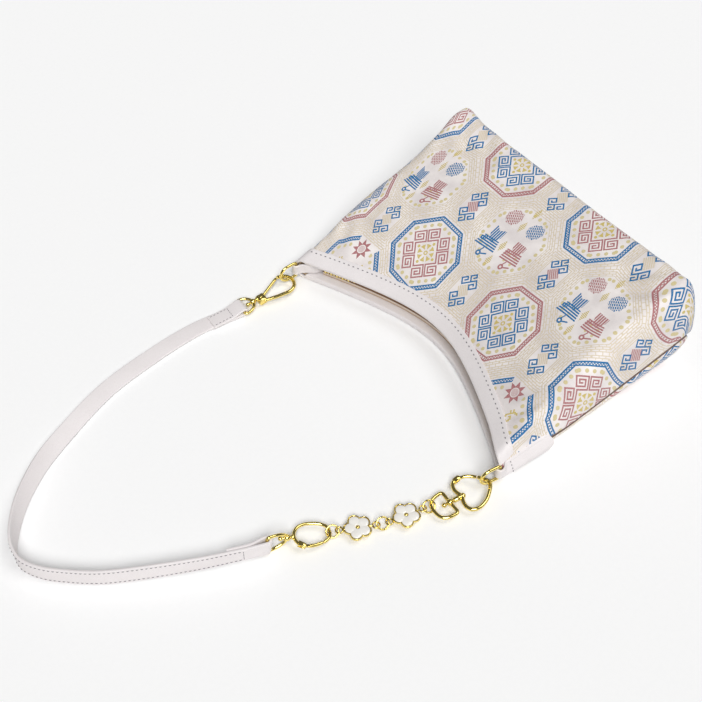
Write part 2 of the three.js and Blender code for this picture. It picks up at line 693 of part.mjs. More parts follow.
function flowerEnamel(frame) {
  const plate = prism(frame, petals(FLOWER_RIM + 2 * GAP), 0.95, 1.45);
  return carve([plate], [prism(frame, circle(0, 0, 1.3 + GAP, 10), 0, 3)]);
}

// Strap: lower edge in plan, and lean of the width from the table (0 flat, 90 on edge)
const STRAP_EDGE = [
  { x: 118.9, y: 178, lean: 0 }, { x: 120.9, y: 196, lean: 2 }, { x: 120.6, y: 216, lean: 5 },
  { x: 118, y: 241, lean: 8 }, { x: 109.2, y: 289, lean: 14 }, { x: 90, y: 337, lean: 28 },
  { x: 74.2, y: 368, lean: 50 }, { x: 54.5, y: 393, lean: 64 }, { x: 36, y: 408.6, lean: 76 },
  { x: 24, y: 415, lean: 86 }, { x: 12, y: 416, lean: 93 }, { x: -2, y: 409, lean: 97 },
  { x: -17.2, y: 394.3, lean: 99 }, { x: -30.5, y: 377.9, lean: 100 }, { x: -44.6, y: 353.7, lean: 99 },
  { x: -63.1, y: 315.7, lean: 94 }, { x: -74.5, y: 288, lean: 90 },
];
const STRAP_STEPS = 42;
const wrap = EYE_WIRE + GAP + 0.05 + STRAP_SKIN / 2;

// Fold of a strap end round an eye bar: distance from the bar and height over the main layer
function foldPoints() {
  const lie = STRAP_SKIN + GAP;
  const list = [];
  for (const a of [STRAP_FOLD, 20, 13, 10, 7.5, 5, 2.5]) {
    list.push([a, lerp(2 * wrap, lie, ease(a / 13))]);
  }
  for (let i = 0; i <= 8; i++) {
    const t = Math.PI / 2 - Math.PI * i / 8;
    list.push([-wrap * Math.cos(t), wrap + wrap * Math.sin(t)]);
  }
  return list;
}

function strap() {
  const section = (centre, width, normal, half, skin) => [[-1, -1], [1, -1], [1, 1], [-1, 1]]
    .map(([a, b]) => centre.clone().addScaledVector(width, a * half).addScaledVector(normal, b * skin));
  const stations = [];
  const sf = snapEyeFrame;
  const first = sf.at(-SNAP_EYE_BACK, 0, -wrap);
  const up = sf.N;
  for (const [a, b] of foldPoints()) {
    stations.push({ centre: first.clone().addScaledVector(sf.P, -a).addScaledVector(up, b), width: sf.Q });
  }
  const edge = new THREE.CatmullRomCurve3(STRAP_EDGE.map((s) => V(s.x, s.y, s.lean)), false, "centripetal");
  const of = ovalEyeFrame;
  const side = of.N.clone().multiplyScalar(Math.sign(of.N.x));
  const last = of.at(-OVAL_EYE_BACK, 0).addScaledVector(side, -wrap);
  for (let i = 0; i <= STRAP_STEPS; i++) {
    const t = i / STRAP_STEPS;
    const p = edge.getPoint(t);
    const d = edge.getTangent(t);
    const len = Math.hypot(d.x, d.y);
    const lean = rad(p.z);
    const width = V(d.y / len * Math.cos(lean), -d.x / len * Math.cos(lean), Math.sin(lean));
    const lift = GAP + STRAP_SKIN / 2 * Math.abs(Math.cos(lean)) + (last.z - STRAP_WIDTH / 2 - GAP) * ease((t - 0.8) / 0.2);
    stations.push({ centre: V(p.x, p.y, lift).addScaledVector(width, STRAP_WIDTH / 2), width });
  }
  for (const [a, b] of foldPoints().reverse()) {
    stations.push({ centre: last.clone().addScaledVector(of.P, -a).addScaledVector(side, b), width: of.Q });
  }
  const rings = stations.map(({ centre, width }, i) => {
    const before = stations[Math.max(i - 1, 0)].centre;
    const after = stations[Math.min(i + 1, stations.length - 1)].centre;
    const normal = width.clone().cross(after.clone().sub(before)).normalize();
    return section(centre, width, normal, STRAP_WIDTH / 2, STRAP_SKIN / 2);
  });
  return loft(rings);
}

// Materials and the finished group

const look = (color, roughness, metalness) => new THREE.MeshStandardMaterial({ color, roughness, metalness });
const brocade = look(0xded6d4, 0.55, 0);
const leather = look(0xebe6e6, 0.5, 0);
const tapeCloth = look(0x9c8467, 0.9, 0);
const gold = look(0xd9b24a, 0.2, 1);
const enamel = look(0xf7f6f2, 0.15, 0);

const PIECES = [
  ["front_panel", frontPanel(), brocade],
  ["back_panel", backPanel(), brocade],
  ["rim_front", rim(frontSurface, 1), leather],
  ["rim_back", rim(backSurface, -1), leather],
  ["zip_tape", zipTape(), tapeCloth],
  ["zip_teeth", zipTeeth(), gold],
  ["zip_slider", zipSlider(), gold],
  ["tab_left", sideTab(1), leather],
  ["tab_right", sideTab(-1), leather],
  ["ring_left", dRing(1, RING_YAW.left), gold],
  ["ring_right", dRing(-1, RING_YAW.right), gold],
  ["snap_eye", swivelEye(snapEyeFrame, SNAP_EYE_BACK, snapFrame), gold],
  ["snap_hook", snapHook(snapFrame), gold],
  ["snap_gate", snapGate(snapFrame), gold],
  ["strap", strap(), leather],
  ["oval_eye", swivelEye(ovalEyeFrame, OVAL_EYE_BACK, ovalFrame), gold],
  ["oval_hook", ovalHook(ovalFrame), gold],
  ["oval_gate", curvedGate(ovalFrame, OVAL_HINGE, OVAL_GATE, OVAL_GATE[3], OVAL_REACH), gold],
  ["jump_ring_1", jumpRing(link1, CHAIN_DIR[4]), gold],
  ["flower_1", flowerSetting(flowerFrame(flower1, CHAIN_DIR[3])), gold],
  ["enamel_1", flowerEnamel(flowerFrame(flower1, CHAIN_DIR[3])), enamel],
  ["jump_ring_2", jumpRing(link2, CHAIN_DIR[2]), gold],
  ["flower_2", flowerSetting(flowerFrame(flower2, CHAIN_DIR[1])), gold],
  ["enamel_2", flowerEnamel(flowerFrame(flower2, CHAIN_DIR[1])), enamel],
  ["jump_ring_3", jumpRing(link3, CHAIN_DIR[0]), gold],
  ["heart_eye", heartEye(heartEyeFrame, heartFrame), gold],
  ["heart_hook", heartHook(heartFrame), gold],
  ["heart_gate", curvedGate(heartFrame, HEART_HINGE, HEART_GATE, HEART_GATE[3], HEART_REACH), gold],
];

const bag = new THREE.Group();
for (const [name, geometry, material] of PIECES) {
  const mesh = new THREE.Mesh(geometry, material);
  mesh.name = name;
  bag.add(mesh);
}

export default bag;
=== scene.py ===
"""Brocade shoulder bag lying on its back: cloth, leather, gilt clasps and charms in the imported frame.

Shapes are worked out in millimetres and put into the meshes in metres. X runs across the bag,
+Y toward its mouth and +Z up from the surface it lies on.
"""
import math

import bpy
import numpy as np
from mathutils import Matrix


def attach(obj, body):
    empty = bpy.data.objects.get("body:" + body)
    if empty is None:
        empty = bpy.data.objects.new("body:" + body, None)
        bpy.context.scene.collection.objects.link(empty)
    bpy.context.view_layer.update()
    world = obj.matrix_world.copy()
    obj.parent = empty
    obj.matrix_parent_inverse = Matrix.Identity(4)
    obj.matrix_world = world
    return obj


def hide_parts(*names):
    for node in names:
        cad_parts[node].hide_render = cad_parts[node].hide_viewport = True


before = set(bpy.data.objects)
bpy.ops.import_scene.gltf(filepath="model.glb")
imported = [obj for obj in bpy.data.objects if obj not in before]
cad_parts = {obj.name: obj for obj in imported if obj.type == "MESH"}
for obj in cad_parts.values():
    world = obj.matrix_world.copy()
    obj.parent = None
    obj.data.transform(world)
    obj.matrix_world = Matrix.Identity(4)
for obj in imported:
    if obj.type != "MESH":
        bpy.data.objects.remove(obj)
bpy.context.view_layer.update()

MM = 0.001

# Attribute that holds a point's place on the flat cloth
CLOTH_PLACE = "cloth_mm"
SHARP_ANGLE = 50

# Camera and light: places in millimetres, angles in degrees
CAMERA_TARGET, CAMERA_ANGLES, CAMERA_DISTANCE = (35.2, 114.8, 0.0), (233.2, 49.7), 958
SENSOR_WIDTH, FOCAL_PIXELS, PHOTO_PIXELS = 36.0, 1195, 702
# Name, azimuth, elevation, angular size and strength of each light
LIGHTS = [("key_light", 237, 51, 32, 2.46), ("back_light", 335, 60, 36, 0.88)]
SURROUND_COLOR, SURROUND_STRENGTH = (1.0, 0.995, 0.99, 1.0), 0.12
FLOOR_REACH, FLOOR_Z = 3.0, -0.0004

# Bag body
HALF_WIDTH, BASE_Y, BASE_EDGE_Y, BASE_DEPTH = 130.0, -92.0, -78.0, 92.0
BASE_ROUND, PANEL_BULGE, WALL, GAP, SEAM_GAP = 18.0, 5.0, 2.0, 0.3, 0.6
MOUTH_MID_Y, MOUTH_RISE, MOUTH_HALF, MOUTH_KNEE = 55.2, 43.0, 127.0, 58.0
RIM_Z, RIM_CROWN, SEAM_Z_MOUTH, SEAM_Z_BASE = 20.0, 3.0, 9.5, 30.0
SHOULDER_MOUTH, SHOULDER_MID, SHOULDER_BASE = 8.0, 24.0, 13.0
SIDE_POWER, FAR_POWER, BASE_POWER, BACK_POWER = 2.6, 4.2, 2.8, 2.0
SEAM_RISE_FROM, SEAM_RISE_RUN, SEAM_BEND = 35, 127, 1.1
BACK_ROUND_MOUTH, BACK_ROUND = 7.0, 14.0
BACK_LIFT, BACK_LIFT_FROM, BACK_LIFT_RUN = 1.95, 12.0, 24.0
# How far the far side stands out at places along Y
FULL_AT, FULL_OUT = [-92, -20, 20, 45, 62, 85], [3, 3.5, 5, 4, 1.8, 0]
# Dents of the front: x, y, reach across, reach along, depth
DENTS = [(104, -10, 24, 22, 4), (92, -58, 20, 16, 2.5), (-92, -52, 20, 14, 2.5),
         (0, -80, 88, 34, 5), (134, -68, 20, 20, -10)]
# Ripples of the slack cloth: x, y, direction, pitch, height, reach
CREASES = [(118, 70, 0.55, 15, 0.7, 34), (-118, 70, -0.5, 16, 0.7, 34), (100, -66, 0.9, 19, 0.9, 30),
           (-104, -64, -0.8, 18, 0.8, 28), (20, -60, 1.45, 26, 0.5, 46), (-40, 20, 1.2, 34, 0.4, 46)]

# Leather facings, zip, tabs and rings
RIM_END, RIM_TIP, RIM_SKIN, RIM_OUTER, RIM_INNER = 124.0, 129.3, 1.3, 10.2, 9.0
RIM_CLEAR, RIM_BEND, RIM_STITCH_IN, RIM_STITCH_PITCH = GAP + 0.1, 0.8, 2.8, 4.4
STITCH_RISE, STITCH_SINK = 0.32, 0.12
ZIP_END, ZIP_INSET, TOOTH_PITCH = 113.0, 3.0, 2.5
TAB_SKIN, TAB_TIP_Y, TAB_HALF, TAB_LOOP_HALF = 1.8, 51.0, 7.2, 4.9
TAB_TIP_Z, TAB_PUFF, END_LEAN = 11.6, 1.0, 4.5
RING_Y, RING_Z, RING_HALF, RING_REACH, RING_WIRE = 102.2, 9.8, 7.25, 15.8, 1.25
TAB_LOOP = RING_WIRE + GAP + 0.15 + TAB_SKIN / 2
TAB_OUT = HALF_WIDTH + GAP + TAB_SKIN / 2 + 0.1
TAB_MID_Z, TAB_TAIL_Z, TAB_TAIL_HALF = RING_Z + 0.6, 11.3, 4.7
# The tab's end inside the bag, from the loop round the ring
TAB_TAIL = [(0, -0.4), (0, -1.6), (-0.8, -3.4), (-2.8, -5.8), (-6, -9), (-8.8, -13), (-10.2, -18),
            (-10.6, -23)]

# Strap and clasps
STRAP_WIDTH, STRAP_SKIN, STRAP_FOLD, EYE_HALF, EYE_WIRE = 13.5, 2.2, 28.0, 8.3, 1.2
STRAP_ROUND, STRAP_STITCH_IN, STRAP_STITCH_PITCH = 0.75, 1.8, 3.2
STRAP_WRAP = EYE_WIRE + GAP + 0.05 + STRAP_SKIN / 2
SNAP_CROSS_ROW, OVAL_CROSS_ROW = 10.0, 17.0
# Lower edge of the strap in plan, and the lean of its width from 0 flat to 90 on edge
STRAP_EDGE = [(118.9, 178, 0), (120.9, 196, 2), (120.6, 216, 5), (118, 241, 8), (109.2, 289, 14),
              (90, 337, 28), (74.2, 368, 50), (54.5, 393, 64), (36, 408.6, 76), (24, 415, 86),
              (12, 416, 93), (-2, 409, 97), (-17.2, 394.3, 99), (-30.5, 377.9, 100),
              (-44.6, 353.7, 99), (-63.1, 315.7, 94), (-74.5, 288, 90)]
HOOK_WIRE, GATE_WIRE, SNAP_GATE_WIRE, OVAL_WIRE, HEART_EYE_WIRE = 1.5, 1.3, 1.25, 1.25, 1.35
GATE_GAP, GATE_CLEAR, HINGE_CLEAR, POST, BALL, BOSS = 0.4, 3.2, 2.6, 0.9, 1.8, 2.6
SNAP_EYE_BACK, OVAL_EYE_BACK = 11.4, 16.0
SNAP_HINGE, SNAP_TIP, SNAP_REACH = (7.2, -1.2), (29.9, 9.3), 24.5
OVAL_HINGE, OVAL_REACH = (10.4, -8.2), 13.8
OVAL_GATE = [(10.4, -8.2), (14.2, -9.1), (19.5, -8.9), (25.4, -7.4)]
OVAL_LINE = [(10, -8.1), (7.4, -6.3), (5.5, -3.2), (5, 0), (5.6, 3.5), (8.2, 7), (13, 9), (19.5, 8.9),
             (25.4, 7.4), (29.5, 4.3), (30.5, 0), (29.5, -4.1), (25.4, -7.4), (20.4, -8.8)]
HEART_HINGE, HEART_REACH = (15.5, 14.25), 13.5
HEART_GATE = [(15.5, 14.25), (20, 13.4), (24.6, 11), (28.4, 7.6)]
HEART_SHORT = [(10.8, -0.5), (8.7, 4), (8.3, 9), (10.6, 13), (15, 14.3)]
HEART_LONG = [(10.8, 0.5), (8.7, -4), (8.3, -9), (10.6, -13), (15.6, -14.4), (23, -12), (29, -7),
              (32.7, -2.5), (33.5, 0), (32.7, 2.5), (29, 7), (25, 10.7)]

# Charm chain
LINK_RADIUS, LINK_WIRE, LINK_TILT, CHAIN_Z = 4.5, 0.7, 42.0, 4.05
FLOWER_RADIUS, FLOWER_LOOP, FLOWER_LOOP_RADIUS, FLOWER_RIM = 10.6, 13.3, 2.55, 0.9
# Rings of the petal plate: share of the outline, inset, height
PETAL_PLATE = [(0.001, 0, -1), (0.5, 0, -1), (1, 0.3, -1), (1, 0, -0.7), (1, 0, 0.75), (1, 0.22, 1),
               (1, 0.65, 1), (1, 0.88, 0.75), (1, 0.9, 0.1), (0.5, 0.9, 0.1), (0.001, 0.9, 0.1)]
# Rings of the enamel: share of the way out from the stud, height along a petal and between petals
ENAMEL_RINGS = [(0, 0.95, 0.95), (0.04, 1.1, 1.05), (0.2, 1.25, 1.08), (0.45, 1.42, 1.05),
                (0.7, 1.42, 1), (0.9, 1.2, 0.95), (0.97, 1, 0.9), (1, 0.8, 0.75), (1, 0.25, 0.25),
                (0, 0.25, 0.25)]
# Plan place where the chain starts at the heart clasp, and the directions of its five lengths
CHAIN_START = (-118.7, 158.1)
CHAIN_DIR = [(0.27, 0.963), (0.21, 0.978), (0.36, 0.933), (0.46, 0.888), (0.42, 0.9075)]

# Brocade repeat, in millimetres along the cloth
REPEAT_ACROSS, REPEAT_DOWN = 94.2, 109.6
MEDALLION_ACROSS, BIRD_ROW_Y = 51.9, -21.0
BACK_ACROSS, BACK_DOWN = 12, -60


# Camera, floor and light

def aim(azimuth, elevation):
    """Right, up and back directions of a camera that looks at the bag from these angles."""
    a, e = math.radians(azimuth), math.radians(elevation)
    right = np.array([math.cos(a), math.sin(a), 0.0])
    back = np.array([math.sin(a) * math.cos(e), -math.cos(a) * math.cos(e), math.sin(e)])
    return right, np.cross(back, right), back


def placed(data, name, right, up, back, at):
    """Links data as an object whose axes are right, up and back, at a point in metres."""
    obj = bpy.data.objects.new(name, data)
    rows = np.eye(4)
    rows[:3, 0], rows[:3, 1], rows[:3, 2], rows[:3, 3] = right, up, back, at
    obj.matrix_world = Matrix(rows.tolist())
    bpy.context.scene.collection.objects.link(obj)
    return obj


def studio():
    """Camera at the photograph's angle, a dim white surround and two wide soft lights, the stronger
    one over the camera."""
    target = np.array(CAMERA_TARGET) * MM
    right, up, back = aim(*CAMERA_ANGLES)
    cam = bpy.data.cameras.new("camera")
    cam.sensor_fit = "HORIZONTAL"
    cam.sensor_width = SENSOR_WIDTH
    cam.lens = SENSOR_WIDTH * FOCAL_PIXELS / PHOTO_PIXELS
    eye = target + back * CAMERA_DISTANCE * MM
    bpy.context.scene.camera = placed(cam, "camera", right, up, back, eye)
    for name, azimuth, elevation, spread, power in LIGHTS:
        right, up, back = aim(azimuth, elevation)
        lamp = bpy.data.lights.new(name, "SUN")
        lamp.angle = math.radians(spread)
        lamp.energy = power
        placed(lamp, name, right, up, back, target + back)
    world = bpy.data.worlds.new("surround")
    world.use_nodes = True
    shade = world.node_tree.nodes["Background"]
    shade.inputs["Color"].default_value = SURROUND_COLOR
    shade.inputs["Strength"].default_value = SURROUND_STRENGTH
    bpy.context.scene.world = world
    bpy.context.scene.view_settings.view_transform = "Standard"


# Meshes

class Part:
    """Points and faces of one closed form, in millimetres, with an optional cloth place per point."""

    def __init__(self, points, faces, cloth=None):
        self.points = np.asarray(points, float).reshape(-1, 3)
        self.faces = faces
        self.cloth = None if cloth is None else np.asarray(cloth, float).reshape(-1, 3)
        if self.volume() < 0:
            self.faces = [face[::-1] for face in faces]

    def volume(self):
        """Six times the signed volume, as the sum of a fan of tetrahedra of every face."""
        total = 0.0
        for size in {len(face) for face in self.faces}:
            face = self.points[np.array([f for f in self.faces if len(f) == size])]
            for k in range(1, size - 1):
                total += np.einsum("ij,ij->", face[:, 0], np.cross(face[:, k], face[:, k + 1]))
        return total


def quads(rows, cols, wrap_rows=False, wrap_cols=False, start=0):
    """Corner numbers of a grid of points, closed on itself along either way."""
    i = np.arange(rows if wrap_rows else rows - 1)[:, None]
    j = np.arange(cols if wrap_cols else cols - 1)[None, :]
    k, m = (i + 1) % rows, (j + 1) % cols
    corners = np.stack([i * cols + j, i * cols + m, k * cols + m, k * cols + j], -1)
    return start + corners.reshape(-1, 4)


def loft(rings, closed=False, cloth=None):
    """A form through a row of rings; open rows end in one face each."""
    rings = np.asarray(rings, float)
    rows, cols = rings.shape[:2]
    faces = quads(rows, cols, closed, True).tolist()
    if not closed:
        faces.append(list(range(cols))[::-1])
        faces.append([(rows - 1) * cols + j for j in range(cols)])
    return Part(rings, faces, cloth)


def shell(outer, inner, cloth, painted_seam_shade):
    """A wall between two grids of the same size, closed along its edges.

    The third number of a cloth place is 1 on the inner grid, which shows as lining, and on the outer
    one how near it is to the seam, which the cloth shows as painted shade of the seam's groove."""
    rows, cols = outer.shape[:2]
    n = rows * cols
    index = np.arange(n).reshape(rows, cols)
    faces = quads(rows, cols).tolist() + quads(rows, cols, start=n)[:, ::-1].tolist()
    ring = np.concatenate([index[0, :-1], index[:-1, -1], index[-1, :0:-1], index[:0:-1, 0]])
    after = np.roll(ring, -1)
    faces += np.stack([ring, ring + n, after + n, after], -1).tolist()
    points = np.concatenate([outer.reshape(-1, 3), inner.reshape(-1, 3)])
    # Third number: painted seam shade on the outer grid, 1 for the lining on the inner grid
    lining = np.concatenate([painted_seam_shade.reshape(-1, 1), np.ones((n, 1))])
    return Part(points, faces, np.hstack([np.concatenate([cloth.reshape(-1, 2)] * 2), lining]))


def piece(name, parts, material, body="bag", stands_for=()):
    """Joins parts into one smooth shaded mesh object that rides on a body."""
    points, faces, cloth, start = [], [], [], 0
    for part in parts:
        points.append(part.points)
        faces.extend([[c + start for c in face] for face in part.faces])
        cloth.append(np.zeros((len(part.points), 3)) if part.cloth is None else part.cloth)
        start += len(part.points)
    mesh = bpy.data.meshes.new(name)
    mesh.from_pydata((np.concatenate(points) * MM).tolist(), [], faces)
    flat = np.concatenate(cloth)
    if flat.any():
        place = mesh.attributes.new(CLOTH_PLACE, "FLOAT_VECTOR", "POINT")
        place.data.foreach_set("vector", flat.ravel())
    mesh.shade_smooth()
    mesh.set_sharp_from_angle(angle=math.radians(SHARP_ANGLE))
    mesh.update()
    mesh.materials.append(material)
    obj = bpy.data.objects.new(name, mesh)
    bpy.context.scene.collection.objects.link(obj)
    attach(obj, body)
    if stands_for:
        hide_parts(*stands_for)
    return obj


# Curves

def lerp(a, b, t):
    """Straight blend from a at t = 0 to b at t = 1."""
    return a + (b - a) * t


def clamp01(t):
    """t held between 0 and 1."""
    return np.clip(t, 0.0, 1.0)


def ease(t):
    """Smooth step from 0 to 1: three t squared less two t cubed."""
    t = clamp01(t)
    return t * t * (3 - 2 * t)


def ramp(value, start, run):
    """Smooth step of a value, from 0 at start to 1 a run further on."""
    return ease((value - start) / run)


def unit(v):
    """Vectors divided by their own lengths."""
    return v / np.linalg.norm(v, axis=-1, keepdims=True)


def circle(count, offset=0.0):
    """Angles at even steps round a circle."""
    return 2 * np.pi * (np.arange(count) + offset) / count


def run_along(path):
    """Length along a path up to each of its points."""
    return np.concatenate([[0], np.cumsum(np.linalg.norm(np.diff(path, axis=0), axis=1))])


def at_lengths(path, run, lengths):
    """Points of a path at lengths along it, where run is the length up to each of its points."""
    return np.stack([np.interp(lengths, run, path[:, k]) for k in range(path.shape[1])], -1)


def spline(points, t, closed=False):
    """Centripetal Catmull-Rom curve through points, t from 0 to 1 evenly over the spans."""
    pts = np.asarray(points, float)
    n = len(pts)
    if closed:
        pts = np.concatenate([pts[-1:], pts, pts[:2]])
        spans = n
    else:
        pts = np.concatenate([2 * pts[:1] - pts[1:2], pts, 2 * pts[-1:] - pts[-2:-1]])
        spans = n - 1
    at = np.clip(np.asarray(t, float), 0, 1) * spans
    k = np.minimum(at.astype(int), spans - 1)
    w = (at - k)[:, None]
    p0, p1, p2, p3 = pts[k], pts[k + 1], pts[k + 2], pts[k + 3]
    d0 = np.maximum(np.linalg.norm(p1 - p0, axis=1) ** 0.5, 1e-4)[:, None]
    d1 = np.maximum(np.linalg.norm(p2 - p1, axis=1) ** 0.5, 1e-4)[:, None]
    d2 = np.maximum(np.linalg.norm(p3 - p2, axis=1) ** 0.5, 1e-4)[:, None]
    m1 = ((p1 - p0) / d0 - (p2 - p0) / (d0 + d1) + (p2 - p1) / d1) * d1
    m2 = ((p2 - p1) / d1 - (p3 - p1) / (d1 + d2) + (p3 - p2) / d2) * d1
    return (p1 + m1 * w + (-3 * p1 + 3 * p2 - 2 * m1 - m2) * w ** 2
            + (2 * p1 - 2 * p2 + m1 + m2) * w ** 3)


def spaced(points, count, closed=False):
    """A Catmull-Rom curve through points, sampled at even arc lengths."""
    fine = spline(points, np.linspace(0, 1, 40 * len(points)), closed)
    run = run_along(fine)
    lengths = np.linspace(0, run[-1], count + 1)
    return at_lengths(fine, run, lengths[:-1] if closed else lengths)


def tangents(path, closed=False):
    """Unit directions along a path, from the points on either side."""
    if closed:
        return unit(np.roll(path, -1, 0) - np.roll(path, 1, 0))
    return unit(np.gradient(path, axis=0))


def fillet(outline, radius, steps=3):
    """A closed plane outline with every corner turned on a quadratic arc of about this radius."""
    pts = np.asarray(outline, float)
    before, after = np.roll(pts, 1, 0) - pts, np.roll(pts, -1, 0) - pts
    lb, la = np.linalg.norm(before, axis=1), np.linalg.norm(after, axis=1)
    reach = np.minimum(np.minimum(lb, la) * 0.45, radius)[:, None]
    a, c = pts + before / lb[:, None] * reach, pts + after / la[:, None] * reach
    t = np.linspace(0, 1, steps + 1)[None, :, None]
    arcs = a[:, None] * (1 - t) ** 2 + 2 * pts[:, None] * t * (1 - t) + c[:, None] * t ** 2
    return arcs.reshape(-1, 2)


class Plane:
    """A plane with p along, q across and h out of it."""

    def __init__(self, origin, along, across):
        self.o = np.asarray(origin, float)
        self.P = unit(np.asarray(along, float))
        self.N = unit(np.cross(self.P, np.asarray(across, float)))
        self.Q = np.cross(self.N, self.P)

    def at(self, p, q=0.0, h=0.0):
        """The point p along, q across and h off the plane's origin."""
        p, q, h = np.broadcast_arrays(*[np.asarray(v, float)[..., None] for v in (p, q, h)])
        return self.o + p * self.P + q * self.Q + h * self.N


def level(origin, dx, dy, slope):
    """A plane along (dx, dy, slope) whose direction across is level."""
    return Plane(origin, (dx, dy, slope), (-dy, dx, 0))


def wire(plane, path, radius, sides, closed=False):
    """A round wire along a plane path; open ends are drawn in to a small chamfer."""
    path = np.asarray(path, float)
    along = tangents(path, closed)
    swell = np.ones(len(path))
    if not closed:
        first, last = path[:1], path[-1:]
        step = 0.3 * radius * along
        path = np.concatenate([first, first + step[:1], path[1:-1], last - step[-1:], last])
        along = np.concatenate([along[:1], along, along[-1:]])
        swell = np.concatenate([[0.7], np.ones(len(path) - 2), [0.7]])
    t = circle(sides)
    side = radius * swell[:, None] * np.cos(t)
    p = path[:, :1] - along[:, 1:] * side
    q = path[:, 1:] + along[:, :1] * side
    return loft(plane.at(p, q, radius * swell[:, None] * np.sin(t)), closed)


def turned(plane, profile, centre=(0.0, 0.0), axis="P", sides=20, closed=False):
    """A profile of (place along the axis, radius) pairs turned round the plane's P or N axis."""
    prof = np.asarray(profile, float)
    t = circle(sides)
    a, r = prof[:, :1] + 0 * t, prof[:, 1:]
    if axis == "P":
        rings = plane.at(a, r * np.cos(t), r * np.sin(t))
    else:
        rings = plane.at(centre[0] + r * np.cos(t), centre[1] + r * np.sin(t), a)
    return loft(rings, closed)


def slab(plane, outline, h0, h1, edge=0.3):
    """A plate of a plane outline between two heights with softened edges."""
    pts = fillet(outline, 0.7) if len(outline) < 12 else np.asarray(outline, float)
    mid = pts.mean(0)
    span = np.linalg.norm(pts - mid, axis=1, keepdims=True)
    small = mid + (pts - mid) * (1 - edge / span)
    rows = [(small, h0), (pts, h0 + edge), (pts, h1 - edge), (small, h1)]
    return loft(np.stack([plane.at(o[:, 0], o[:, 1], h) for o, h in rows]))


def washer(plane, centre, r0, r1, h0, h1):
    """A flat ring: a rectangle with softened corners turned round an axis off the plane."""
    prof = fillet([(h0, r0), (h0, r1), (h1, r1), (h1, r0)], 0.25, 2)
    return turned(plane, prof, centre, "N", 24, True)


def stitches(places, along, up, length, width):
    """Short thread ends: an oval ring swept over an arch, at each place, along its own direction."""
    rows, sides = 5, 6
    a = np.linspace(-1, 1, rows)[:, None]
    t = circle(sides)
    fat = 0.5 * width * np.sqrt(np.maximum(1 - 0.75 * a ** 2, 0.2))
    lift = STITCH_RISE * (1 - a ** 2) - STITCH_SINK + fat * np.sin(t)
    side = unit(np.cross(up, along))
    spot, d, n, w = [v[:, None, None, :] for v in (places, along, up, side)]
    rings = spot + 0.5 * length * a[..., None] * d + lift[..., None] * n
    rings = rings + (fat * np.cos(t))[..., None] * w
    start = rows * sides * np.arange(len(places))[:, None, None]
    ends = np.stack([np.arange(sides)[::-1], (rows - 1) * sides + np.arange(sides)])
    walls = (start + quads(rows, sides, False, True)).reshape(-1, 4)
    caps = (start + ends).reshape(-1, sides)
    return [Part(rings, walls.tolist() + caps.tolist())]


# Bag surfaces

def mouth_y(x):
    """Mouth edge in plan: a hyperbola, level in the middle and rising toward its ends."""
    rise = np.hypot(MOUTH_KNEE, x) - MOUTH_KNEE
    return MOUTH_MID_Y + MOUTH_RISE * (rise / (math.hypot(MOUTH_KNEE, MOUTH_HALF) - MOUTH_KNEE))


def way_down(x, y):
    """Share of the way from the mouth edge to the base."""
    edge = mouth_y(x)
    return clamp01((edge - y) / (edge - BASE_Y))


def seam_z(y):
    """Height of the side and base seam, low at the mouth and rising toward the base."""
    t = clamp01((SEAM_RISE_FROM - y) / SEAM_RISE_RUN)
    return lerp(SEAM_Z_MOUTH, SEAM_Z_BASE, t ** SEAM_BEND)


def arch(t, power):
    """Quarter of a superellipse: upright at t = 0, level at t = 1."""
    return (1 - (1 - clamp01(t)) ** power) ** (1 / power)


def shoulder(v):
    """Width of the front's rounded side, widest 45% of the way down."""
    return np.where(v < 0.45, lerp(SHOULDER_MOUTH, SHOULDER_MID, ramp(v, 0.1, 0.35)),
                    lerp(SHOULDER_MID, SHOULDER_BASE, ramp(v, 0.45, 0.55)))


def front_crown(x, y):
    """Straight rise from the rim to the base edge, a sine bulge and a few bell shaped dents."""
    edge = mouth_y(x)
    k = np.minimum((edge - y) / (edge - BASE_EDGE_Y), 1)
    rim = RIM_Z + RIM_CROWN * (1 - (x / HALF_WIDTH) ** 2)
    z = lerp(rim, BASE_DEPTH, k) + PANEL_BULGE * np.sin(np.pi * clamp01(k))
    for dx, dy, rx, ry, depth in DENTS:
        z = z - depth * np.exp(-((x - dx) / rx) ** 2 - ((y - dy) / ry) ** 2)
    return z


def front_z(x, y, rise):
    """Height of the front, a share rise of the way from the seam up to the crown."""
    return lerp(seam_z(y) + SEAM_GAP / 2, front_crown(x, y), rise)


def front_surface(x, y):
    """Height of the front at a plan place, its sides and base rounded off."""
    side = arch((HALF_WIDTH - np.abs(x)) / shoulder(way_down(x, y)), SIDE_POWER)
    return front_z(x, y, side * arch((y - BASE_Y) / BASE_ROUND, BASE_POWER))


def back_round(v):
    """Width of the back's rounded side, growing from the mouth down."""
    return lerp(BACK_ROUND_MOUTH, BACK_ROUND, ramp(v, 0.1, 0.4))


def back_z(x, y, rise):
    """Height of the back, a share rise of the way from the seam down, lifted near the mouth."""
    lift = BACK_LIFT * (1 - ramp(mouth_y(x) - y, BACK_LIFT_FROM, BACK_LIFT_RUN))
    return lerp(seam_z(y) - SEAM_GAP / 2, lift, rise)


def back_surface(x, y):
    """Height of the back at a plan place, its sides and base rounded off."""
    side = arch((HALF_WIDTH - np.abs(x)) / back_round(way_down(x, y)), BACK_POWER)
    return back_z(x, y, side * arch((y - BASE_Y) / BACK_ROUND, BACK_POWER))


def slope_normal(surface, x, y, d):
    """Upward normal of a height surface from differences over a step d."""
    zx = (surface(x + d, y) - surface(x - d, y)) / (2 * d)
    zy = (surface(x, y + d) - surface(x, y - d)) / (2 * d)
    return unit(np.stack([-zx, -zy, np.ones_like(zx)], -1))


